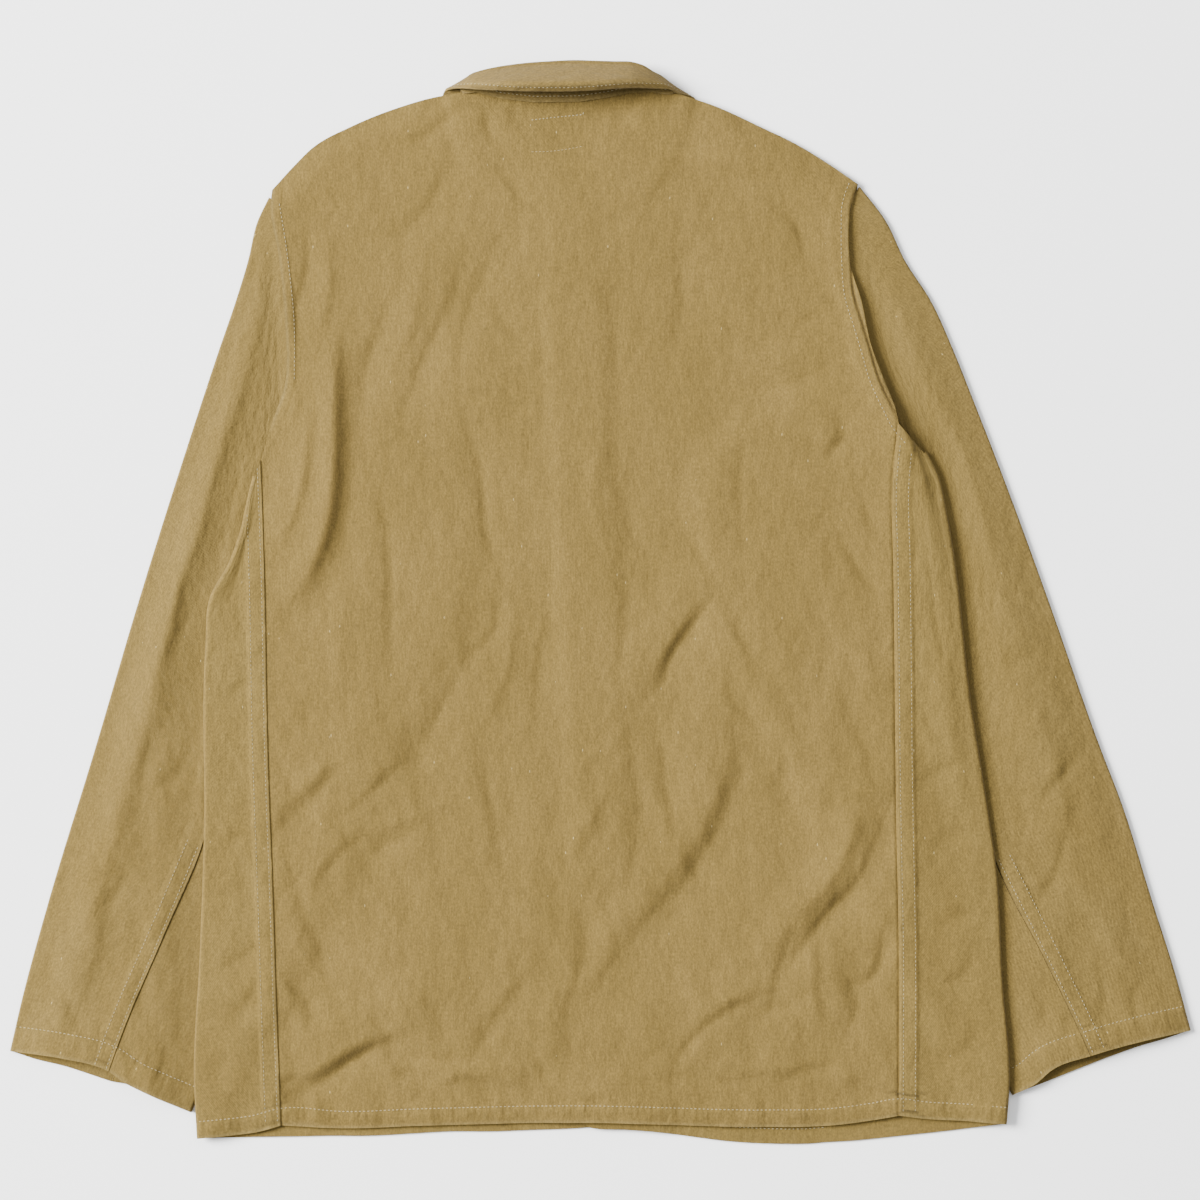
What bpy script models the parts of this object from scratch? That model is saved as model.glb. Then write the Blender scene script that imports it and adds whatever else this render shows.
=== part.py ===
"""A cotton work jacket laid flat on its front, buttoned, with its back and collar upwards.

Millimetres inside this script, metres in the scene. +Z is up and +Y points to the collar. Left and
right are those of the picture from above. Panels lie on each other from the floor up: buttons, left
front, right front, back. Each sleeve is a flat tube of two panels. Its inner part passes under the
side of the body, so the fronts climb over it. The fronts wrap round the side folds to the back seams.
"""
import bmesh
import bpy
import numpy as np

# ---- driving dimensions, in millimetres
WALL = 1.0                # thickness of the cloth as it lies
COLLAR_WALL = 1.6         # two plies of the same cloth, turned and pressed
SEAM_GAP = 0.4            # between two pieces at a seam
LAYER_GAP = 0.4           # between two layers that lie on each other
SLEEVE_FOLD_RADIUS = 1.0  # of the middle of the wall, where a sleeve tube turns over
SLEEVE_LOFT = 2.2         # how far the free part of a sleeve stands up in its middle
BODY_HEIGHT = 5.4         # of the middle of the back's wall, where only the fronts are below
BODY_RISE = 1.9           # more than that, where a sleeve is below too
OVER_STAND = 6.7          # of the middle of the back's wall, where the collar's stand is below
HEM_OPENING = 2.4         # from the front's middle to the back's, at the hem
SHOULDER_BEVEL = 18.0     # width over which the back comes down to the shoulder seam
ROLL_RADIUS = 1.5         # of the middle of the collar's wall, at its roll line
BUTTON_RADIUS = 8.5
BUTTON_THICK = 2.2
BUTTON_YS = (252.0, 150.0, 48.0, -54.0, -156.0)
HOLE_RADIUS = 0.9
HOLE_OFFSET = 1.9         # of the four holes from the button's middle, along X and Y

# The centre front leans a little: its x, and those of the two front edges, at the neck and the hem.
NECK_Y, HEM_Y = 274.0, -367.0
CENTRE_X = (-21.0, 9.5)
LEFT_FRONT_EDGE_X = (0.0, 31.0)
RIGHT_FRONT_EDGE_X = (-42.0, -11.5)

# ---- outlines as (x, y), in millimetres, each from the hem or cuff upwards
BACK_SEAM = {
    "left": [(-223, -367), (-224, -336), (-228, -211), (-232, -95), (-234, 12), (-237, 98)],
    "right": [(209, -360), (209, -247), (207, -140), (205, 30), (204, 80), (208, 123)],
}
SIDE_FOLD = {
    "left": [(-282, -376), (-284, -336), (-280, -247), (-277, -161), (-276, -32), (-273, 2),
             (-260, 26), (-252, 48), (-246, 75), (-243, 87)],
    "right": [(284, -366), (286, -336), (281, -265), (277, -190), (270, -140), (259, -70),
              (247, 33), (242, 62), (236, 88), (228, 104)],
}
ARMHOLE_BACK = {
    "left": [(-237, 98), (-230, 122), (-220, 154), (-220, 188), (-225, 241), (-230.5, 277), (-229.5, 287)],
    "right": [(208, 123), (206, 133), (198, 154), (189, 178), (182, 210), (175, 233), (174, 268),
              (180, 291)],
}
ARMHOLE_FRONT = {
    "left": [(-203, 119), (-202, 147), (-208, 189), (-217, 231), (-227, 270), (-229.5, 287)],
    "right": [(168, 126), (162, 151), (163, 189), (169, 231), (177, 270), (180, 291)],
}
ARMHOLE_BASE = {  # under the arm, from the side fold inwards, on the floor side
    "left": [(-243, 87), (-232, 92), (-216, 104), (-203, 119)],
    "right": [(228, 104), (212, 103), (189, 110), (168, 126)],
}
CHEST_COLUMN = {  # where the front's cloth under the armhole meets the rest of it
    "left": [(-190, -374.5), (-194, -180), (-203, 119)],
    "right": [(158, -379), (160, -180), (168, 126)],
}
SLEEVE_OUTER = {
    "left": [(-413, -315), (-405, -280), (-386, -210), (-354, -105), (-323, 0), (-290, 105),
             (-267, 175), (-255, 210), (-246.5, 238), (-240, 265), (-232, 282)],
    "right": [(413, -300.5), (402.5, -262), (386, -210), (364, -140), (350.5, -105), (313.5, 0),
              (288, 70), (261, 140), (247, 175), (231, 210), (213, 238), (200, 265), (181.5, 289.5)],
}
SLEEVE_INNER = {
    "left": [(-286, -358), (-273, -326), (-242, -263), (-197, -168), (-151, -72), (-123, -9),
             (-112, 56), (-123, 88), (-161, 108), (-200, 115)],
    "right": [(288, -346), (271, -315), (237, -254), (185, -161), (134, -68), (100, -8), (92, 60),
              (101, 93), (133, 115), (165, 122)],
}
SLEEVE_BACK_SEAM = {
    "left": [(-343, -329), (-333, -301), (-304, -233), (-278, -171), (-262, -63), (-249, 39),
             (-238, 90)],
    "right": [(342, -318), (335, -302), (310, -250), (276, -182), (258, -105), (240, 28), (218, 106)],
}
SLEEVE_FRONT_SEAM = {
    "left": [(-342, -336.5), (-318, -280), (-270, -180), (-235, -60), (-216, 60), (-206, 165)],
    "right": [(341, -325), (318, -270), (270, -170), (232, -60), (196, 60), (166, 168)],
}
CUFF_UPPER = {
    "left": [(-286, -358), (-313, -346), (-333, -336), (-343, -329), (-375, -320), (-413, -315)],
    "right": [(288, -346), (302, -339), (315, -328), (343, -318), (387, -306), (413, -300.5)],
}
CUFF_LOWER = {
    "left": [(-286, -358), (-313, -346), (-331, -338), (-342, -336), (-353, -332.5),
             (-375, -325.5), (-398, -320), (-413, -315)],
    "right": [(288, -347), (309, -338.5), (329, -330), (341, -325), (358, -318.5), (378, -311.5),
              (397, -306), (413, -300.5)],
}
SHOULDER = {  # from the armhole to the neck
    "left": [(-229.5, 287), (-214.5, 303.5), (-200, 317.5), (-174, 331.5), (-140, 345), (-114, 352),
             (-99, 354.5)],
    "right": [(180, 291), (162, 303.5), (134, 320.5), (112, 331), (92, 340.5), (76, 347), (57, 353)],
}
HEM_BACK = [(-223, -367), (-183, -369), (-120, -367), (-11, -365), (114, -368), (161, -367),
            (192, -363), (209, -360)]
HEM_WRAP = {
    "left": [(-223, -367), (-242, -372), (-259, -374), (-282, -376)],
    "right": [(209, -360), (224, -362), (258, -364), (284, -366)],
}
HEM_SIDE = {
    "left": [(-282, -376), (-252, -375.5), (-214, -375), (-190, -374.5)],
    "right": [(284, -366), (245, -371), (202, -375.5), (177, -378), (158, -379)],
}
HEM_FRONT = {
    "left": [(-190, -374.5), (-161, -374.5), (-133, -373), (-105, -371.5), (-77, -371.5),
             (-49, -370.5), (-21, -369.5), (10, -367.5), (31, -367)],
    "right": [(158, -379), (146, -380), (119, -380), (91, -378.5), (63, -375), (36, -371.5),
              (14, -370), (-2, -369.5), (-8, -368.5), (-11.5, -366)],
}
NECK_BACK = [(-99, 354.5), (-86, 356.5), (-68, 352), (-46, 349.5), (-15, 350), (5, 353), (19, 356),
             (35, 356.8), (57, 353)]
NECK_FRONT = {
    "left": [(-99, 354.5), (-96.5, 338), (-87, 307), (-58.5, 282), (-22, 273.8), (0, 273.6)],
    "right": [(57, 353), (54.5, 338), (45, 307), (16.5, 282), (-19, 273.8), (-42, 273.6)],
}

# The collar's sections, from the left end at the centre front, round the back, to the right end.
# neck, roll, crest and edge are its seam, the middle of its roll, the top of its leaf, the leaf's edge.
# turn is which way the stand lies from the leaf, seen from the roll: 0 below, 90 inwards, 180 above.
COLLAR = [
    # neck (x, y, z)      roll (x, y, z)        crest (x, y, z)       edge (x, y, z)      turn
    ((-23, 274.5, 3.9), (-23.5, 298, 2.5), (-30, 268, 0.9), (-36, 236, 0.8), 180),
    ((-39, 277.5, 3.9), (-34.5, 301, 2.5), (-47, 268, 0.9), (-60, 242, 0.8), 180),
    ((-58, 283, 3.9), (-45.5, 307, 2.5), (-65, 283, 0.9), (-82, 260, 0.8), 180),
    ((-74, 293, 3.9), (-55.5, 315, 2.5), (-81, 300, 0.9), (-98, 278, 0.8), 180),
    ((-86, 308, 3.9), (-64.5, 325, 2.5), (-94, 318, 0.9), (-108, 301, 0.8), 180),
    ((-92, 322, 3.9), (-71.5, 334, 2.6), (-101, 332, 0.9), (-112, 320, 0.8), 176),
    ((-95.5, 338, 3.9), (-80, 347, 3.0), (-103, 346, 1.3), (-112, 338, 0.9), 165),
    ((-97, 350, 4.0), (-88, 359.5, 4.0), (-103.5, 354.8, 1.5), (-111, 350, 1.0), 135),
    ((-98, 356.2, 4.7), (-91, 363.8, 5.8), (-103.4, 359.2, 4.3), (-108.8, 356.6, 2.5), 95),
    ((-96, 358.2, 5.9), (-89, 366, 8.0), (-98.5, 359.6, 9.6), (-103.5, 357.6, 8.2), 55),
    ((-90.5, 358.6, 6.5), (-83.5, 367.8, 9.5), (-91, 359.6, 15.5), (-94.5, 356.6, 13.6), 25),
    ((-83, 357.6, 6.8), (-76.5, 369.4, 10.4), (-81, 358.8, 20.5), (-83, 355.4, 17.4), 10),
    ((-70, 353.6, 7.0), (-65, 371.2, 11.0), (-67, 358.4, 26.0), (-68, 354.4, 21.4), 2),
    ((-54, 351, 7.0), (-51, 372.8, 11.2), (-52, 357.9, 28.6), (-53, 353.6, 23.4), 0),
    ((-37, 350, 7.0), (-36, 373.8, 11.3), (-36, 357.6, 29.5), (-37, 353.4, 24.0), 0),
    ((-20, 350.5, 7.0), (-19, 374.6, 11.3), (-19, 357.7, 30.0), (-19, 353.5, 24.4), 0),
    ((-4, 352.5, 7.0), (-4, 374.2, 11.3), (-4, 358.5, 29.5), (-4, 354.2, 24.2), 0),
    ((10, 355.5, 7.0), (10, 373.8, 11.2), (10, 359.4, 28.0), (10, 355.4, 23.2), 0),
    ((23, 357.8, 7.0), (21, 373.6, 11.0), (23, 360.0, 25.0), (24, 356.2, 21.0), -2),
    ((34, 358.4, 6.8), (30, 371.2, 10.4), (35, 359.8, 20.0), (37, 356.2, 16.8), -10),
    ((43, 358.4, 6.5), (36.5, 367.4, 9.5), (45, 359.2, 14.8), (48, 356.2, 12.8), -25),
    ((50.5, 357.2, 5.9), (42, 364.4, 8.0), (51.5, 357, 9.2), (55.5, 353.8, 7.9), -55),
    ((54.5, 354.8, 4.7), (45, 361.4, 5.8), (57.8, 355.2, 4.4), (62.6, 352, 3.2), -95),
    ((54.5, 349.2, 4.0), (43.5, 358, 4.0), (60.5, 353.6, 1.5), (67.5, 349, 1.0), -135),
    ((53.5, 338, 3.9), (37.5, 347, 3.0), (61.5, 345.5, 1.3), (70.5, 338, 0.9), -165),
    ((50, 322, 3.9), (29.5, 334, 2.6), (59, 332, 0.9), (70, 320, 0.8), -176),
    ((44, 308, 3.9), (22.5, 325, 2.5), (52, 318, 0.9), (66, 301, 0.8), -180),
    ((32, 293, 3.9), (13.5, 315, 2.5), (39, 300, 0.9), (56, 278, 0.8), -180),
    ((16, 283, 3.9), (3.5, 307, 2.5), (23, 283, 0.9), (40, 260, 0.8), -180),
    ((-3, 277.5, 3.9), (-7.5, 301, 2.5), (5, 268, 0.9), (18, 242, 0.8), -180),
    ((-19, 274.5, 3.9), (-18.5, 298, 2.5), (-12, 268, 0.9), (-6, 236, 0.8), -180),
]
LEFT_FRONT_SECTIONS = slice(0, 9)     # of the collar, that lie on the floor side
RIGHT_FRONT_SECTIONS = slice(22, 31)

# The back's largest folds: a soft ridge (height above 0) or trough along its points, tapering out.
BIG_FOLDS = [
    # height, half width, points (x, y)
    (2.4, 13.0, [(-168, 170), (-170, 98), (-176, 40), (-190, 0)]),
    (1.3, 12.0, [(-200, 180), (-202, 110), (-212, 50)]),
    (-1.2, 11.0, [(-184, 160), (-186, 98), (-193, 42), (-207, 10)]),
    (1.4, 15.0, [(-196, -305), (-160, -290), (-126, -276)]),
    (1.5, 14.0, [(186, -130), (168, -190), (138, -214), (112, -246)]),
    (1.2, 14.0, [(70, -312), (84, -290), (110, -277), (132, -274)]),
    (1.2, 15.0, [(62, 12), (30, -30), (14, -60)]),
    (1.0, 16.0, [(76, -90), (66, -150), (36, -200), (-30, -290)]),
    (1.0, 16.0, [(-166, 0), (-168, -60), (-170, -110)]),
    (0.9, 18.0, [(-96, 250), (-98, 170), (-104, 130)]),
]


# ---- curves and strips
def resample(points, shares):
    """Points at the given shares of a smooth curve's length, through the given points."""
    points = np.asarray(points, float)
    knots = np.concatenate([[0], np.cumsum(np.linalg.norm(np.diff(points, axis=0), axis=1))])
    slopes = np.gradient(points, knots, axis=0)
    fine = np.linspace(0, knots[-1], 40 * len(knots))
    step = np.clip(np.searchsorted(knots, fine, side="right") - 1, 0, len(knots) - 2)
    length = knots[step + 1] - knots[step]
    t = ((fine - knots[step]) / length)[:, None]
    length = length[:, None]
    curve = ((1 + 2 * t) * (1 - t) ** 2 * points[step] + t * (1 - t) ** 2 * length * slopes[step]
             + t * t * (3 - 2 * t) * points[step + 1] + t * t * (t - 1) * length * slopes[step + 1])
    along = np.concatenate([[0], np.cumsum(np.linalg.norm(np.diff(curve, axis=0), axis=1))])
    wanted = np.asarray(shares) * along[-1]
    return np.stack([np.interp(wanted, along, curve[:, axis]) for axis in range(points.shape[1])], axis=1)


def length_of(points):
    return float(np.linalg.norm(np.diff(np.asarray(points, float), axis=0), axis=1).sum())


def outwards(curve, away_from):
    """Unit directions square to a plan curve, pointing away from the given points."""
    along = np.gradient(curve, axis=0)
    normal = np.stack([along[:, 1], -along[:, 0]], axis=1)
    normal /= np.linalg.norm(normal, axis=1, keepdims=True)
    facing = np.sign(((curve - away_from) * normal).sum(axis=1, keepdims=True))
    return normal * facing


def strip(start, end, low, high, shares, bend=2.0):
    """Plan points of a strip: rows run from the start curve to the end curve, low and high are the
    curves of its first and last row, whose bow fades into the strip."""
    rows = np.linspace(0, 1, len(start))[:, None, None]
    across = np.asarray(shares)[None, :, None]
    ruled = start[:, None] * (1 - across) + end[:, None] * across
    bows = []
    for curve in (low, high):
        curve = resample(curve, shares)
        bows.append(curve - (curve[:1] * (1 - across[0]) + curve[-1:] * across[0]))
    return ruled + (1 - rows) ** bend * bows[0] + rows ** bend * bows[1]


def soft(share):
    share = np.clip(share, 0, 1)
    return share * share * (3 - 2 * share)


def distance(path, x, y):
    """From plan points to a line through the path's points."""
    path = np.asarray(path, float)
    best = np.full(np.shape(x), 1e9)
    for (x0, y0), (x1, y1) in zip(path[:-1], path[1:]):
        dx, dy = x1 - x0, y1 - y0
        share = np.clip(((x - x0) * dx + (y - y0) * dy) / (dx * dx + dy * dy), 0, 1)
        best = np.minimum(best, np.hypot(x - x0 - share * dx, y - y0 - share * dy))
    return best


def beyond(outline, x, y):
    """How far plan points lie outside a closed outline, 0 inside it."""
    outline = np.asarray(outline, float)
    inside = np.zeros(np.shape(x), bool)
    for (x0, y0), (x1, y1) in zip(outline, np.roll(outline, -1, axis=0)):
        if y0 != y1:
            crosses = (y0 > y) != (y1 > y)
            inside ^= crosses & (x < (x1 - x0) * (y - y0) / (y1 - y0) + x0)
    return np.where(inside, 0.0, distance(np.vstack([outline, outline[:1]]), x, y))


def front_line(ends, y):
    """x of a line that leans from the neck to the hem, at height y."""
    return ends[0] + (NECK_Y - y) / (NECK_Y - HEM_Y) * (ends[1] - ends[0])


# ---- heights of the layers: the middle of each wall above the floor
def under_body(side):
    """Outline of the sleeve where it lies under the body."""
    sign = -1 if side == "left" else 1
    fold = SIDE_FOLD[side][-1]
    return [(sign * 420, -330), (sign * 330, -356)] + SLEEVE_INNER[side] + [fold, (sign * 420, fold[1])]


def sleeve_below(x, y):
    """1 where a sleeve lies below the fronts, fading to 0 round it."""
    gap = np.minimum(beyond(under_body("left"), x, y), beyond(under_body("right"), x, y))
    return soft((40 - gap) / 26)


def collar_below(x, y):
    """1 where a collar leaf lies below the fronts, fading to 0 round it."""
    gaps = []
    for sections in (COLLAR[LEFT_FRONT_SECTIONS], COLLAR[RIGHT_FRONT_SECTIONS]):
        edge = [section[3][:2] for section in sections]
        roll = [section[1][:2] for section in sections]
        gaps.append(beyond(edge + roll[::-1], x, y))
    return soft((30 - np.minimum(*gaps)) / 20)


def stand_below(x, y):
    """1 where the front half of the collar's stand lies below the back, fading to 0 round it."""
    gaps = []
    for sections in (COLLAR[LEFT_FRONT_SECTIONS], COLLAR[RIGHT_FRONT_SECTIONS]):
        seam = [section[0][:2] for section in sections]
        roll = [section[1][:2] for section in sections]
        gaps.append(beyond(seam + roll[::-1], x, y))
    return soft((26 - np.minimum(*gaps)) / 20)


def buttons_below(x, y):
    """1 over the row of buttons, fading to 0 round it."""
    across = soft((35 - np.abs(x - front_line(CENTRE_X, y))) / 22)
    above = soft((BUTTON_YS[0] + 55 - y) / 30)
    below = soft((y - BUTTON_YS[-1] + 70) / 40)
    return across * above * below


def fold_height(x, y, folds):
    height = np.zeros(np.shape(x))
    for rise, half_width, path in folds:
        away = distance(path, x, y)
        height += rise * np.exp(-(away / half_width) ** 2)
    return height


def near_shoulder(x, y):
    gap = np.minimum(distance(SHOULDER["left"], x, y), distance(SHOULDER["right"], x, y))
    return np.clip(1 - gap / SHOULDER_BEVEL, 0, 1) ** 2


def left_front_height(x, y):
    over_sleeve = 3 * WALL + LAYER_GAP
    over_leaf = COLLAR_WALL + LAYER_GAP
    over_button = BUTTON_THICK + LAYER_GAP
    lift = np.maximum(over_sleeve * sleeve_below(x, y), over_leaf * collar_below(x, y))
    return WALL / 2 + np.maximum(lift, over_button * buttons_below(x, y)) + 0.8 * near_shoulder(x, y)


def overlap(x, y):
    """1 where the two fronts overlap, fading to 0 on both sides."""
    right_of = front_line(RIGHT_FRONT_EDGE_X, y) - 6
    left_of = front_line(LEFT_FRONT_EDGE_X, y) + 6
    return soft((x - right_of + 20) / 20) * soft((left_of + 20 - x) / 20)


def right_front_height(x, y):
    return left_front_height(x, y) + (WALL + 2 * LAYER_GAP) * overlap(x, y)


def back_height(x, y):
    fronts = right_front_height(x, y)
    base = BODY_HEIGHT + BODY_RISE * sleeve_below(x, y) + 0.6 * collar_below(x, y)
    base += fold_height(x, y, BIG_FOLDS)
    at_hem = np.clip((y - HEM_Y) / 35, 0, 1) ** 0.7
    base = (fronts + HEM_OPENING) * (1 - at_hem) + base * at_hem
    at_shoulder = near_shoulder(x, y)
    closed = fronts + WALL + 2 * LAYER_GAP
    base = closed * at_shoulder + base * (1 - at_shoulder)
    return np.maximum(np.maximum(base, closed), OVER_STAND * stand_below(x, y))


def free_sleeve_height(x, y, side):
    """Of a sleeve's upper layer: pressed under the body, standing up a little beside it."""
    body_edge = SIDE_FOLD[side] + ARMHOLE_BACK[side][1:]
    edge_x = np.interp(y, [point[1] for point in body_edge], [point[0] for point in body_edge])
    is_free = x < edge_x if side == "left" else x > edge_x
    clear = np.minimum(distance(SLEEVE_OUTER[side], x, y), distance(body_edge, x, y))
    return WALL / 2 + 2 * SLEEVE_FOLD_RADIUS + SLEEVE_LOFT * soft(clear / 34) * is_free


# ---- pieces
def material(name, colour, roughness):
    made = bpy.data.materials.new(name)
    made.use_nodes = True
    shader = made.node_tree.nodes["Principled BSDF"]
    shader.inputs["Base Color"].default_value = (*colour, 1)
    shader.inputs["Roughness"].default_value = roughness
    shader.inputs["Metallic"].default_value = 0
    return made


def wall(name, finish, middle, outward, thickness, keep=None):
    """A closed wall round a grid of middle points, each moved half the thickness both ways."""
    rows, columns = middle.shape[:2]
    bm = bmesh.new()
    bmesh.ops.create_grid(bm, x_segments=columns - 1, y_segments=rows - 1, size=1)
    place = bm.verts.layers.int.new("place")
    for vert in bm.verts:
        column = round((vert.co.x + 1) / 2 * (columns - 1))
        row = round((vert.co.y + 1) / 2 * (rows - 1))
        vert[place] = row * columns + column
    if keep is not None:
        spots = {vert: divmod(vert[place], columns) for vert in bm.verts}
        unwanted = [face for face in bm.faces if not all(keep[spots[vert]] for vert in face.verts)]
        bmesh.ops.delete(bm, geom=unwanted, context="FACES")
    bmesh.ops.triangulate(bm, faces=bm.faces[:])
    lining_verts = bm.verts[:]
    made = bmesh.ops.extrude_face_region(bm, geom=bm.faces[:], use_keep_orig=True)
    skin_verts = [item for item in made["geom"] if isinstance(item, bmesh.types.BMVert)]
    middle, outward = middle.reshape(-1, 3), outward.reshape(-1, 3)
    for verts, way in ((lining_verts, -1), (skin_verts, 1)):
        for vert in verts:
            vert.co = (middle[vert[place]] + way * thickness / 2 * outward[vert[place]]) / 1000
    bmesh.ops.recalc_face_normals(bm, faces=bm.faces[:])
    bm.verts.layers.int.remove(place)
    mesh = bpy.data.meshes.new(name)
    bm.to_mesh(mesh)
    bm.free()
    mesh.materials.append(finish)
    mesh.shade_smooth()
    mesh.set_sharp_from_angle(angle=np.radians(50))
    piece = bpy.data.objects.new(name, mesh)
    bpy.context.scene.collection.objects.link(piece)
    return piece


def raised(plan, height):
    return np.dstack([plan, height])


def straight_up(plan, way=1.0):
    """Wall directions of a layer that lies flat, its right side up or down."""
    out = np.zeros((*plan.shape[:2], 3))
    out[:, :, 2] = way
    return out


def turned_edge(edge, outward, upper, lower, steps=3):
    """Wall middles and directions round a fold, between an upper and a lower layer."""
    radius = (upper - lower) / 2
    angles = np.radians(np.linspace(90, -90, steps + 2)[1:-1])
    centre = edge - outward * (WALL / 2 + radius)[:, None]
    points, ways = [], []
    for angle in angles:
        plan = centre + outward * (radius * np.cos(angle))[:, None]
        height = (upper + lower) / 2 + radius * np.sin(angle)
        points.append(np.column_stack([plan, height]))
        ways.append(np.column_stack([outward * np.cos(angle), np.full(len(edge), np.sin(angle))]))
    return np.stack(points, axis=1), np.stack(ways, axis=1)


def spread(points, rows, reference):
    """Points along a curve, spaced as on a curve of the reference length at its start."""
    share = np.linspace(0, 1, rows)
    full = length_of(points)
    return resample(points, share * (reference * (1 - share) + full * share) / full)


def even(points, count):
    return resample(points, np.linspace(0, 1, count))


def back(finish, rows=26):
    sides = {}
    for side in ("left", "right"):
        seam = even(BACK_SEAM[side], 18)
        armhole = even(ARMHOLE_BACK[side], rows - 17)
        sides[side] = np.vstack([seam, armhole[1:]])
    top = np.vstack([even(SHOULDER["left"], 7), even(NECK_BACK, 8)[1:],
                     even(SHOULDER["right"][::-1], 7)[1:]])
    hem = even(HEM_BACK, len(top))
    shares = np.linspace(0, 1, len(top))
    plan = strip(sides["left"], sides["right"], hem, top, shares)
    middle = raised(plan, back_height(plan[:, :, 0], plan[:, :, 1]))
    return wall("back", finish, middle, straight_up(plan), WALL)


def front(side, finish, low_rows=16, high_rows=9):
    sign = -1 if side == "left" else 1
    lower_height = left_front_height if side == "left" else right_front_height
    edge_x = LEFT_FRONT_EDGE_X if side == "left" else RIGHT_FRONT_EDGE_X
    inner_foot, inner_chest = HEM_FRONT[side][-1], CHEST_COLUMN[side][-1]
    front_edge = [inner_foot, (front_line(edge_x, -200), -200), (front_line(edge_x, 0), 0),
                  (front_line(edge_x, inner_chest[1]), inner_chest[1])]
    seam = even(BACK_SEAM[side], low_rows) + [sign * SEAM_GAP, 0]
    fold = even(SIDE_FOLD[side], low_rows)
    chest = even(CHEST_COLUMN[side], low_rows)
    opening = even(front_edge, low_rows)
    out = outwards(fold, chest)
    near = fold - out * 2
    radius = (back_height(*near.T) - lower_height(*near.T)) / 2
    inset = fold - out * (WALL / 2 + radius)[:, None]

    wrap_shares, side_shares = np.linspace(0, 1, 4), np.linspace(0, 1, 6)
    base = ARMHOLE_BASE[side]
    wrap = strip(seam, inset, even(HEM_WRAP[side], 4), even([seam[-1], inset[-1]], 4), wrap_shares)
    under = strip(inset, chest, even(HEM_SIDE[side], 6), even(base, 6), side_shares)
    top = np.vstack([even(SHOULDER[side], 6), even(NECK_FRONT[side], 8)[1:]])
    shares = np.concatenate([[0], np.cumsum(np.linalg.norm(np.diff(top, axis=0), axis=1))])
    shares /= shares[-1]
    across = resample([chest[-1], opening[-1]], shares)
    low = strip(chest, opening, resample(HEM_FRONT[side], shares), across, shares)
    armhole = even(ARMHOLE_FRONT[side], high_rows)
    upper_edge = even([opening[-1], NECK_FRONT[side][-1]], high_rows)
    high = strip(armhole, upper_edge, across, top, shares, bend=1.4)

    wrap_mid = raised(wrap, back_height(wrap[:, :, 0], wrap[:, :, 1]))
    under_mid = raised(under, lower_height(under[:, :, 0], under[:, :, 1]))
    arc_mid, arc_out = turned_edge(fold, out, wrap_mid[:, -1, 2], under_mid[:, 0, 2])
    front_plan = np.concatenate([low, high[1:]])
    front_mid = raised(front_plan, lower_height(front_plan[:, :, 0], front_plan[:, :, 1]))
    side_mid = np.concatenate([wrap_mid, arc_mid, under_mid[:, :-1]], axis=1)
    side_out = np.concatenate([straight_up(wrap), arc_out, straight_up(under[:, :-1], -1)], axis=1)
    above = np.zeros((high_rows - 1, side_mid.shape[1], 3))
    middle = np.concatenate([np.concatenate([side_mid, above]), front_mid], axis=1)
    outward = np.concatenate([np.concatenate([side_out, above]), straight_up(front_plan, -1)], axis=1)
    keep = np.ones(middle.shape[:2], bool)
    keep[low_rows:, :side_mid.shape[1]] = False
    return wall("front_" + side, finish, middle, outward, WALL, keep)


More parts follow.
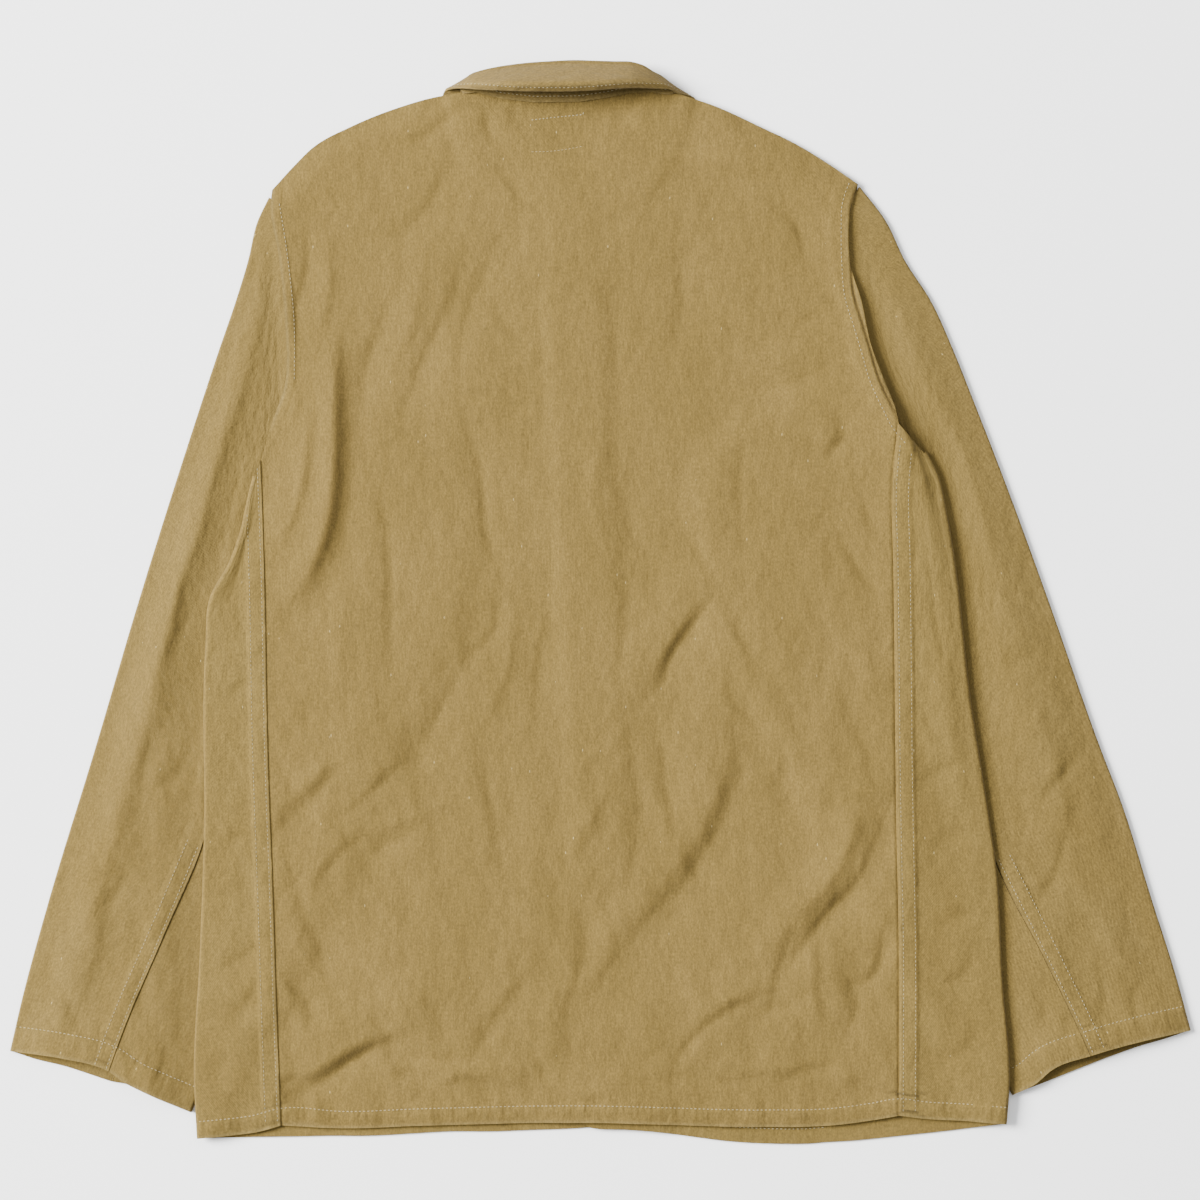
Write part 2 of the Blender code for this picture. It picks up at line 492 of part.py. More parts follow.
def sleeve(side, finish, rows=17):
    """The top sleeve and the under sleeve of a flat tube, each round one of its two folds."""
    reference = length_of(SLEEVE_OUTER[side])
    outer = spread(SLEEVE_OUTER[side], rows, reference)
    inner = spread(SLEEVE_INNER[side], rows, reference)
    back_seam = spread(SLEEVE_BACK_SEAM[side], rows, reference)
    front_seam = spread(SLEEVE_FRONT_SEAM[side], rows, reference)

    # The head: level with the back's edge near the shoulder, tucked under it further down.
    count = 9
    rising = np.linspace(0, 1, count)
    edge = resample(ARMHOLE_BACK[side], rising)
    away = outwards(edge, np.zeros(2))
    tuck = 1 - soft((rising - 0.5) / 0.3)
    beside, below = 1.2 * SEAM_GAP, -6.0
    head = edge + away * (beside + (below - beside) * soft(tuck * 2 - 1))[:, None]
    head_height = back_height(*edge.T) - (WALL + LAYER_GAP) * soft(tuck * 2)
    rest = WALL / 2 + 2 * SLEEVE_FOLD_RADIUS
    head_height = rest + (head_height - rest) * soft(rising / 0.3)

    cuff, low_cuff = even(CUFF_UPPER[side], 11), even(CUFF_LOWER[side], 11)
    split = int(np.argmin(np.linalg.norm(cuff - back_seam[0], axis=1)))
    low_split = int(np.argmin(np.linalg.norm(low_cuff - front_seam[0], axis=1)))

    # top sleeve: from the back seam over the outer fold to the front seam
    out = outwards(outer, back_seam)
    lift = np.full(rows, 2 * SLEEVE_FOLD_RADIUS)
    inset = outer - out * (WALL / 2 + lift / 2)[:, None]
    gap = outwards(back_seam, inner) * SEAM_GAP * 0.8
    upper = strip(back_seam + gap, inset, even(cuff[split:], count), head, rising)
    height = free_sleeve_height(upper[:, :, 0], upper[:, :, 1], side)
    reach = np.linalg.norm(upper - upper[-1:], axis=2)
    near_head = np.clip(1 - reach / 45, 0, 1) ** 1.5
    height += (head_height[None] - height) * near_head
    low_count = 5
    low_shares = np.linspace(0, 1, low_count)
    front_head = [p for p in ARMHOLE_FRONT[side][::-1] if p[1] > front_seam[-1][1]]
    front_head = even([*front_head, tuple(front_seam[-1])], low_count)
    low_gap = outwards(front_seam, inner) * SEAM_GAP / 2
    lower = strip(inset, front_seam + low_gap, even(low_cuff[low_split:][::-1], low_count), front_head,
                  low_shares)
    lower[-1, 1:-1] += outwards(lower[-1, 1:-1], np.zeros(2)) * 1.0
    floor = np.full(lower.shape[:2], WALL / 2)
    arc_mid, arc_out = turned_edge(outer, out, height[:, -1], floor[:, 0])
    middle = np.concatenate([raised(upper, height), arc_mid, raised(lower, floor)], axis=1)
    outward = np.concatenate([straight_up(upper), arc_out, straight_up(lower, -1)], axis=1)
    wall(f"sleeve_{side}_top", finish, middle, outward, WALL)

    # under sleeve: from the back seam over the inner fold to the front seam
    out = outwards(inner, outer)
    inset = inner - out * (WALL / 2 + lift / 2)[:, None]
    upper = strip(back_seam - gap, inset, even(cuff[:split + 1][::-1], count),
                  even(ARMHOLE_BASE[side], count), rising)
    height = free_sleeve_height(upper[:, :, 0], upper[:, :, 1], side)
    lower = strip(inset, front_seam - low_gap, even(low_cuff[:low_split + 1], low_count),
                  even([tuple(inset[-1]), tuple(front_seam[-1])], low_count), low_shares)
    floor = np.full(lower.shape[:2], WALL / 2)
    arc_mid, arc_out = turned_edge(inner, out, height[:, -1], floor[:, 0])
    middle = np.concatenate([raised(upper, height), arc_mid, raised(lower, floor)], axis=1)
    outward = np.concatenate([straight_up(upper), arc_out, straight_up(lower, -1)], axis=1)
    wall(f"sleeve_{side}_under", finish, middle, outward, WALL)


def collar(finish):
    rows, turns = [], np.radians([section[4] for section in COLLAR])
    for (neck, roll, crest, leaf_edge, _), turn in zip(COLLAR, turns):
        neck, roll, crest, leaf_edge = map(np.array, (neck, roll, crest, leaf_edge))
        fold = (roll - neck) * [1, 1, 0]
        fold = fold / np.linalg.norm(fold)
        inwards = np.array([fold[1], -fold[0], 0])
        to_stand = np.array([0, 0, -np.cos(turn)]) + inwards * np.sin(turn)
        stand_end = roll + ROLL_RADIUS * to_stand
        points = [neck + (stand_end - neck) * share for share in np.linspace(0, 1, 4)]
        for angle in np.radians((50, 90, 130)):
            points.append(roll + ROLL_RADIUS * (to_stand * np.cos(angle) + fold * np.sin(angle)))
        leaf_start = roll - ROLL_RADIUS * to_stand
        points += [leaf_start + (crest - leaf_start) * share for share in (0, 0.5, 0.85)]
        points += [crest + (leaf_edge - crest) * share for share in (0.2, 1)]
        rows.append(points)
    middle = np.array(rows, float)
    across = np.gradient(middle, axis=1)
    along = np.gradient(middle, axis=0)
    outward = np.cross(across, along)
    outward /= np.linalg.norm(outward, axis=2, keepdims=True)
    return wall("collar", finish, middle, outward, COLLAR_WALL)


def disc(name, radius, depth, segments):
    bm = bmesh.new()
    bmesh.ops.create_cone(bm, cap_ends=True, segments=segments, radius1=radius / 1000,
                          radius2=radius / 1000, depth=depth / 1000)
    mesh = bpy.data.meshes.new(name)
    bm.to_mesh(mesh)
    bm.free()
    piece = bpy.data.objects.new(name, mesh)
    bpy.context.scene.collection.objects.link(piece)
    return piece


def buttons(finish):
    """Plain four-hole buttons, one mesh for all, their outer faces on the floor."""
    blank = disc("blank", BUTTON_RADIUS, BUTTON_THICK, 20)
    rim = blank.modifiers.new("rim", "BEVEL")
    rim.width = 0.4 / 1000
    rim.segments = 1
    rim.limit_method = "ANGLE"
    cutters = []
    for x in (-HOLE_OFFSET, HOLE_OFFSET):
        for y in (-HOLE_OFFSET, HOLE_OFFSET):
            cutter = disc("cutter", HOLE_RADIUS, BUTTON_THICK * 2, 6)
            cutter.location = (x / 1000, y / 1000, 0)
            hole = blank.modifiers.new("hole", "BOOLEAN")
            hole.operation = "DIFFERENCE"
            hole.solver = "EXACT"
            hole.object = cutter
            cutters.append(cutter)
    bpy.context.view_layer.update()
    shaped = bpy.data.meshes.new_from_object(blank.evaluated_get(bpy.context.evaluated_depsgraph_get()))
    shaped.name = "button"
    shaped.materials.append(finish)
    for helper in (blank, *cutters):
        bpy.data.objects.remove(helper)
    for number, y in enumerate(BUTTON_YS, 1):
        piece = bpy.data.objects.new(f"button_{number}", shaped)
        piece.location = (front_line(CENTRE_X, y) / 1000, y / 1000, BUTTON_THICK / 2000)
        bpy.context.scene.collection.objects.link(piece)


def centre_on_origin():
    """Moves every piece so that the whole stands on z = 0 with its middle over the origin."""
    bpy.context.view_layer.update()
    pieces = [piece for piece in bpy.data.objects if piece.type == "MESH"]
    corners = np.array([piece.matrix_world @ vert.co for piece in pieces for vert in piece.data.vertices])
    low, high = corners.min(axis=0), corners.max(axis=0)
    shift = np.array([-(low[0] + high[0]) / 2, -(low[1] + high[1]) / 2, -low[2]])
    for mesh in {piece.data for piece in pieces if piece.location.length == 0}:
        for vert in mesh.vertices:
            vert.co += type(vert.co)(shift)
    for piece in pieces:
        if piece.location.length > 0:
            piece.location += type(piece.location)(shift)


def main():
    for old in list(bpy.data.objects):
        bpy.data.objects.remove(old)
    khaki = (0.40, 0.29, 0.13)
    cloth = {name: material(name + "_cotton", khaki, 0.9)
             for name in ("back", "front_left", "front_right", "sleeve_left", "sleeve_right", "collar")}
    back(cloth["back"])
    for side in ("left", "right"):
        front(side, cloth["front_" + side])
        sleeve(side, cloth["sleeve_" + side])
    collar(cloth["collar"])
    buttons(material("button_resin", (0.16, 0.10, 0.05), 0.35))
    centre_on_origin()


main()
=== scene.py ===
"""A cotton work jacket laid flat on its front, seen from straight above: cloth, thread and buttons.

The tables are in millimetres, as in the part's own source, and every shape is made in metres.
+Z is up and +Y points to the collar. Left and right are those of the picture from above.
"""

import bmesh
import bpy
import numpy as np
from mathutils import Matrix, Vector, noise


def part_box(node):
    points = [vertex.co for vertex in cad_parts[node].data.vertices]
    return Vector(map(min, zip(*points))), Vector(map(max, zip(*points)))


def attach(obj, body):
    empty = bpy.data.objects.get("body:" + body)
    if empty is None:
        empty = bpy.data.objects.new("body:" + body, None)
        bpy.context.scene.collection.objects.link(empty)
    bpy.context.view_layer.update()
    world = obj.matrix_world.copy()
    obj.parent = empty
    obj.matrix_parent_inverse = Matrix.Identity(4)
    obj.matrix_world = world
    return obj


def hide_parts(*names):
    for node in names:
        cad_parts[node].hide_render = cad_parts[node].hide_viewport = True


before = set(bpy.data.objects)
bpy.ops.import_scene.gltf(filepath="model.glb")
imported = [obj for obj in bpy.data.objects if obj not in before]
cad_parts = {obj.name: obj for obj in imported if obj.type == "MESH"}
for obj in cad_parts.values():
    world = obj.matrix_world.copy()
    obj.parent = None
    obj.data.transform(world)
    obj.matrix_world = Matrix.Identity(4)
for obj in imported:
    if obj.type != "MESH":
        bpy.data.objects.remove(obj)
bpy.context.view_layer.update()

# ---- the jacket's sizes, in millimetres, as in the part
WALL = 1.0                # thickness of the cloth as it lies
COLLAR_WALL = 1.6         # two plies of the same cloth, turned and pressed
LAYER_GAP = 0.4           # between two layers that lie on each other
SEAM_GAP = 0.1            # between two pieces at a seam, where the part leaves 0.4
SLEEVE_FOLD_RADIUS = 1.0  # of the middle of the wall, where a sleeve tube turns over
SLEEVE_LOFT = {"left": 3.4, "right": 2.2}   # how far a sleeve's free part stands up in its middle
LEAST_LOFT = 0.1          # where a crease would take it lower
LOFT_WIDTH = 34.0         # over which it comes down to the sleeve's fold and to the body's edge
BODY_HEIGHT = 5.4         # of the middle of the back's wall, where only the fronts are below
BODY_RISE = 1.9           # more than that, where a sleeve is below too
OVER_STAND = 6.7          # of the middle of the back's wall, where the collar's stand is below
CUFF_OPENING = 2.2        # how much further a cuff stands open in its middle
CUFF_OPENING_LENGTH = 45.0   # along the sleeve
HEM_OPENING = 2.4         # from the front's middle to the back's, at the hem
HEM_OPENING_LENGTH = 35.0    # over which the back comes up to its own height
SHOULDER_BEVEL = 18.0     # width over which the back comes down to the shoulder seam
SHOULDER_RISE = 0.8       # of the front's cloth, at that seam
ROLL_RADIUS = 1.5         # of the middle of the collar's wall, at its roll line
BUTTON_THICK = 2.2
BUTTON_YS = (252.0, 150.0, 48.0, -54.0, -156.0)
HOLE_OFFSET = 1.9         # of the four holes from the button's middle, along X and Y
HOLE_THREAD_Z = 0.35      # of the thread that shows on the button's face, in its hollow
BUTTONHOLE_LENGTH = 20.0

# ---- sewing, in millimetres
STITCH = 2.9              # from one stitch to the next
STITCH_SHOWS = 1.75       # length of thread between its two holes
THREAD = 0.62             # across; real thread is 0.3, drawn wider so that it shows
FELL_THREAD = 0.5         # the same for the side seams, whose rows lie deeper in the cloth
COLLAR_THREAD = 0.42      # and for the leaf's edge, with shorter stitches
COLLAR_STITCH_SHOWS = 1.4
BEAD_LIFT = 0.08          # of a stitch's middle above the cloth
FELL_WIDTH = 12.4         # of a felled seam
FELL_ROWS = (2.6, 11.0)   # of its two stitch rows, from the seam
FELL_TOPS = {"left": (94.0, 64.0), "right": (112.0, 104.0)}   # y where they end, under the arms
FELL_RISE = 0.7           # of its extra plies above the cloth beside it
FRONT_HEM_ROW = 10.5      # of the front's hem stitches from its edge
HEM_ROW = 12.0            # of the hem's stitch row, from its edge
CUFF_ROW = 17.5           # and of the cuff's
ARMHOLE_ROW = 6.3         # of the row beside an armhole, from its seam
NECK_ROW = 4.2            # of the row on the collar's stand, from the neck seam
NECK_DIP = 2.2            # of the dip beside that seam
LEAF_ROW = 4.5            # of the row on the collar's leaf, from its edge
HEM_RISE = 0.5            # of a turned-up hem's or cuff's extra plies
DEEPEST = 0.2             # that sewing takes off a turned wall's thickness
FRONT_HEM_X = (34, 192)   # between which the right front's hem row shows below the back
UPPER_BACK_ROWS = [       # two short rows and the upper one's last stitch: points, pitch and thread
    ([(-48.6, 335.6), (-29.7, 337.8), (-12.2, 339.5)], 2.6, THREAD),
    ([(-48.6, 313.3), (-32.5, 314), (-11.1, 317.5)], 2.6, 0.32),
    ([(-12.2, 339.5), (-11.5, 342)], 1.5, THREAD),
]
NECK_LAP = 1.6            # of the collar's stand over the back's neck edge
NECK_SINK = 0.3           # of the stand's edge in the back's surface, where the two are sewn together
HEAD_TUCK = 5.0           # of a sleeve's head, under the back's edge
HEAD_GAP = 0.15           # between the two there
HEAD_LENGTH = 24.0        # over which the sleeve comes down from its head to its own height

# ---- the grids: numbers of rows and columns, and where they lie closer, in millimetres from an edge
BACK_ROWS = (172, 66)     # beside the side seams, and beside the armholes
BACK_HALF_COLUMNS = 90
FRONT_ROWS = (176, 56)
WRAP_COLUMNS, UNDER_COLUMNS, FRONT_COLUMNS = 30, 16, 44
SLEEVE_ROWS, SLEEVE_COLUMNS, SLEEVE_LOW_COLUMNS = 190, 44, 14
COLLAR_ROWS = 260
ROLL_COLUMN = 12          # of the collar's grid, on its roll
CREST_START, CREST_END = 0.86, 0.35   # of the leaf and of its hanging edge, where its crest is rounded
HEM_STATIONS = (0, 0.8, 2.5, 5, 7.5, 9.5, 11, 12, 13, 14.5, 16.5)
CUFF_STATIONS = (0, 0.8, 3, 6, 9, 12, 14.5, 16.5, 17.5, 18.5, 20, 22.5)
EDGE_STATIONS = (0, 0.7, 1.7, 2.8, 4, 5.2, 6.4, 7.6, 8.8, 10, 11.4, 13)
FELL_STATIONS = (0, 0.5, 1.5, 2.6, 3.7, 5.6, 7.8, 9.8, 11, 11.8, 12.5, 13.4, 15)

# ---- creases
CREASING = 2.2            # depth of a crease of height 1 in the tables
CREASE_POWER = 0.65       # less than 1, so that shallow creases show too
LEAN = (0.86, -0.5)       # the way the ridges lean, in plan
STEEP, GENTLE = 0.4, 1.4  # widths of a crease's two flanks, for a half width of 1
LEAST_STEEP = 2.0         # as narrow as the grid can carry
ROUNDING = 0.3            # of a crease's top, as a share of its flanks' widths

# The centre front leans a little: its x, and those of the two front edges, at the neck and the hem.
NECK_Y, HEM_Y = 274.0, -367.0
CENTRE_X = (-21.0, 9.5)
FRONT_EDGE_X = {"left": (0.0, 31.0), "right": (-42.0, -11.5)}
SIGN = {"left": -1, "right": 1}   # of X on each side

# ---- outlines as (x, y), in millimetres, each from the hem or cuff upwards
BACK_SEAM = {
    "left": [(-223, -367), (-224, -336), (-228, -211), (-232, -95), (-234, 12), (-237, 98)],
    "right": [(209, -360), (209, -247), (207, -140), (205, 30), (204, 80), (208, 123)],
}
SIDE_FOLD = {
    "left": [(-282, -376), (-284, -336), (-280, -247), (-277, -161), (-276, -32), (-273, 2),
             (-260, 26), (-252, 48), (-246, 75), (-243, 87)],
    "right": [(284, -366), (286, -336), (281, -265), (277, -190), (270, -140), (259, -70),
              (247, 33), (242, 62), (236, 88), (228, 104)],
}
ARMHOLE_BACK = {
    "left": [(-237, 98), (-230, 122), (-220, 154), (-220, 188), (-225, 241), (-230.5, 277),
             (-229.5, 287)],
    "right": [(208, 123), (206, 133), (198, 154), (189, 178), (182, 210), (175, 233), (174, 268),
              (180, 291)],
}
ARMHOLE_FRONT = {
    "left": [(-203, 119), (-202, 147), (-208, 189), (-217, 231), (-227, 270), (-229.5, 287)],
    "right": [(168, 126), (162, 151), (163, 189), (169, 231), (177, 270), (180, 291)],
}
ARMHOLE_BASE = {  # under the arm, from the side fold inwards, on the floor side
    "left": [(-243, 87), (-232, 92), (-216, 104), (-203, 119)],
    "right": [(228, 104), (212, 103), (189, 110), (168, 126)],
}
CHEST_COLUMN = {  # where the front's cloth under the armhole meets the rest of it
    "left": [(-190, -374.5), (-194, -180), (-203, 119)],
    "right": [(158, -379), (160, -180), (168, 126)],
}
SLEEVE_OUTER = {
    "left": [(-413, -315), (-405, -280), (-386, -210), (-354, -105), (-323, 0), (-290, 105),
             (-267, 175), (-255, 210), (-246.5, 238), (-240, 265), (-232, 282)],
    "right": [(413, -300.5), (402.5, -262), (386, -210), (364, -140), (350.5, -105), (313.5, 0),
              (288, 70), (261, 140), (247, 175), (231, 210), (213, 238), (200, 265), (181.5, 289.5)],
}
SLEEVE_INNER = {
    "left": [(-286, -358), (-273, -326), (-242, -263), (-197, -168), (-151, -72), (-123, -9),
             (-112, 56), (-123, 88), (-161, 108), (-200, 115)],
    "right": [(288, -346), (271, -315), (237, -254), (185, -161), (134, -68), (100, -8), (92, 60),
              (101, 93), (133, 115), (165, 122)],
}
SLEEVE_BACK_SEAM = {
    "left": [(-343, -329), (-333, -301), (-304, -233), (-278, -171), (-262, -63), (-249, 39),
             (-238, 90)],
    "right": [(342, -318), (335, -302), (310, -250), (276, -182), (258, -105), (240, 28), (218, 106)],
}
SLEEVE_FRONT_SEAM = {
    "left": [(-342, -336.5), (-318, -280), (-270, -180), (-235, -60), (-216, 60), (-206, 165)],
    "right": [(341, -325), (318, -270), (270, -170), (232, -60), (196, 60), (166, 168)],
}
FOLDED_STRIP = [  # where the sleeve's cloth is sewn to the back, inside its own turned edge
    (180, 290), (175.5, 278), (174.5, 260), (175, 233), (176.8, 213.2), (182, 196), (188, 176.1),
    (193.6, 156.5), (202.7, 136.2), (209.7, 122.9), (217.4, 113.8)]
CUFF_UPPER = {
    "left": [(-286, -358), (-313, -346), (-333, -336), (-343, -329), (-375, -320), (-413, -315)],
    "right": [(288, -346), (302, -339), (315, -328), (343, -318), (387, -306), (413, -300.5)],
}
CUFF_LOWER = {
    "left": [(-286, -358), (-313, -346), (-331, -338), (-342, -336), (-353, -332.5),
             (-375, -325.5), (-398, -320), (-413, -315)],
    "right": [(288, -347), (309, -338.5), (329, -330), (341, -325), (358, -318.5), (378, -311.5),
              (397, -306), (413, -300.5)],
}
SHOULDER = {  # from the armhole to the neck
    "left": [(-229.5, 287), (-214.5, 303.5), (-200, 317.5), (-174, 331.5), (-140, 345), (-114, 352),
             (-99, 354.5)],
    "right": [(180, 291), (162, 303.5), (134, 320.5), (112, 331), (92, 340.5), (76, 347), (57, 353)],
}
HEM_BACK = [(-223, -367), (-183, -369), (-120, -367), (-11, -365), (114, -368), (161, -367),
            (192, -363), (209, -360)]
HEM_WRAP = {
    "left": [(-223, -367), (-242, -372), (-259, -374), (-282, -376)],
    "right": [(209, -360), (224, -362), (258, -364), (284, -366)],
}
HEM_SHOWN = HEM_WRAP["left"][::-1] + HEM_BACK[1:] + HEM_WRAP["right"][1:]
HEM_SIDE = {
    "left": [(-282, -376), (-252, -375.5), (-214, -375), (-190, -374.5)],
    "right": [(284, -366), (245, -371), (202, -375.5), (177, -378), (158, -379)],
}
HEM_FRONT = {
    "left": [(-190, -374.5), (-161, -374.5), (-133, -373), (-105, -371.5), (-77, -371.5),
             (-49, -370.5), (-21, -369.5), (10, -367.5), (31, -367)],
    "right": [(158, -379), (146, -380), (119, -380), (91, -378.5), (63, -375), (36, -371.5),
              (14, -370), (-2, -369.5), (-8, -368.5), (-11.5, -366)],
}
NECK_BACK = [(-99, 354.5), (-86, 356.5), (-68, 352), (-46, 349.5), (-15, 350), (5, 353), (19, 356),
             (35, 356.8), (57, 353)]
NECK_FRONT = {
    "left": [(-99, 354.5), (-96.5, 338), (-87, 307), (-58.5, 282), (-22, 273.8), (0, 273.6)],
    "right": [(57, 353), (54.5, 338), (45, 307), (16.5, 282), (-19, 273.8), (-42, 273.6)],
}

# The collar's sections, from the left end at the centre front, round the back, to the right end.
# neck, roll, crest and edge are its seam, the middle of its roll, the top of its leaf, the leaf's edge.
# turn is which way the stand lies from the leaf, seen from the roll: 0 below, 90 inwards, 180 above.
COLLAR = [
    # neck (x, y, z)      roll (x, y, z)        crest (x, y, z)       edge (x, y, z)      turn
    ((-23, 274.5, 3.9), (-23.5, 298, 2.5), (-30, 268, 0.9), (-36, 236, 0.8), 180),
    ((-39, 277.5, 3.9), (-34.5, 301, 2.5), (-47, 268, 0.9), (-60, 242, 0.8), 180),
    ((-58, 283, 3.9), (-45.5, 307, 2.5), (-65, 283, 0.9), (-82, 260, 0.8), 180),
    ((-74, 293, 3.9), (-55.5, 315, 2.5), (-81, 300, 0.9), (-98, 278, 0.8), 180),
    ((-86, 308, 3.9), (-64.5, 325, 2.5), (-94, 318, 0.9), (-108, 301, 0.8), 180),
    ((-92, 322, 3.9), (-71.5, 334, 2.6), (-101, 332, 0.9), (-112, 320, 0.8), 176),
    ((-95.5, 338, 3.9), (-80, 347, 3.0), (-103, 346, 1.3), (-112, 338, 0.9), 165),
    ((-97, 350, 4.0), (-88, 359.5, 4.0), (-103.5, 354.8, 1.5), (-111, 350, 1.0), 135),
    ((-98, 356.2, 4.7), (-91, 363.8, 5.8), (-103.4, 359.2, 4.3), (-108.8, 356.6, 2.5), 95),
    ((-96, 358.2, 5.9), (-89, 366, 8.0), (-98.5, 359.6, 9.6), (-103.5, 357.6, 8.2), 55),
    ((-90.5, 358.6, 6.5), (-83.5, 367.8, 9.5), (-91, 359.6, 15.5), (-94.5, 356.6, 13.6), 25),
    ((-83, 357.6, 6.8), (-76.5, 369.4, 10.4), (-81, 358.8, 20.5), (-83, 355.4, 17.4), 10),
    ((-70, 353.6, 7.0), (-65, 371.2, 11.0), (-67, 358.4, 26.0), (-68, 354.4, 21.4), 2),
    ((-54, 351, 7.0), (-51, 372.8, 11.2), (-52, 357.9, 28.6), (-53, 353.6, 23.4), 0),
    ((-37, 350, 7.0), (-36, 373.8, 11.3), (-36, 357.6, 29.5), (-37, 353.4, 24.0), 0),
    ((-20, 350.5, 7.0), (-19, 374.6, 11.3), (-19, 357.7, 30.0), (-19, 353.5, 24.4), 0),
    ((-4, 352.5, 7.0), (-4, 374.2, 11.3), (-4, 358.5, 29.5), (-4, 354.2, 24.2), 0),
    ((10, 355.5, 7.0), (10, 373.8, 11.2), (10, 359.4, 28.0), (10, 355.4, 23.2), 0),
    ((23, 357.8, 7.0), (21, 373.6, 11.0), (23, 360.0, 25.0), (24, 356.2, 21.0), -2),
    ((34, 358.4, 6.8), (30, 371.2, 10.4), (35, 359.8, 20.0), (37, 356.2, 16.8), -10),
    ((43, 358.4, 6.5), (36.5, 367.4, 9.5), (45, 359.2, 14.8), (48, 356.2, 12.8), -25),
    ((50.5, 357.2, 5.9), (42, 364.4, 8.0), (51.5, 357, 9.2), (55.5, 353.8, 7.9), -55),
    ((54.5, 354.8, 4.7), (45, 361.4, 5.8), (57.8, 355.2, 4.4), (62.6, 352, 3.2), -95),
    ((54.5, 349.2, 4.0), (43.5, 358, 4.0), (60.5, 353.6, 1.5), (67.5, 349, 1.0), -135),
    ((53.5, 338, 3.9), (37.5, 347, 3.0), (61.5, 345.5, 1.3), (70.5, 338, 0.9), -165),
    ((50, 322, 3.9), (29.5, 334, 2.6), (59, 332, 0.9), (70, 320, 0.8), -176),
    ((44, 308, 3.9), (22.5, 325, 2.5), (52, 318, 0.9), (66, 301, 0.8), -180),
    ((32, 293, 3.9), (13.5, 315, 2.5), (39, 300, 0.9), (56, 278, 0.8), -180),
    ((16, 283, 3.9), (3.5, 307, 2.5), (23, 283, 0.9), (40, 260, 0.8), -180),
    ((-3, 277.5, 3.9), (-7.5, 301, 2.5), (5, 268, 0.9), (18, 242, 0.8), -180),
    ((-19, 274.5, 3.9), (-18.5, 298, 2.5), (-12, 268, 0.9), (-6, 236, 0.8), -180),
]
LEFT_FRONT_SECTIONS = slice(0, 9)     # of the collar, that lie on the floor side
RIGHT_FRONT_SECTIONS = slice(22, 31)

# Folds that the part's back has too: height above 0 is a ridge, below 0 a trough, tapering out.
BIG_FOLDS = [
    # height, half width, points (x, y)
    (1.6, 12.0, [(-190, 170), (-190, 98), (-197, 42), (-211, 8)]),
    (0.8, 12.0, [(-206, 180), (-208, 110), (-216, 50)]),
    (-0.9, 11.0, [(-172, 160), (-173, 98), (-180, 42), (-196, 6)]),
    (1.4, 15.0, [(-196, -305), (-160, -290), (-126, -276)]),
    (1.5, 14.0, [(186, -130), (168, -190), (138, -214), (112, -246)]),
    (1.2, 14.0, [(70, -312), (84, -290), (110, -277), (132, -274)]),
    (1.2, 15.0, [(62, 12), (30, -30), (14, -60)]),
    (1.0, 16.0, [(76, -90), (66, -150), (36, -200), (-30, -290)]),
    (1.0, 16.0, [(-166, 0), (-168, -60), (-170, -110)]),
    (0.9, 18.0, [(-96, 250), (-98, 170), (-104, 130)]),
]

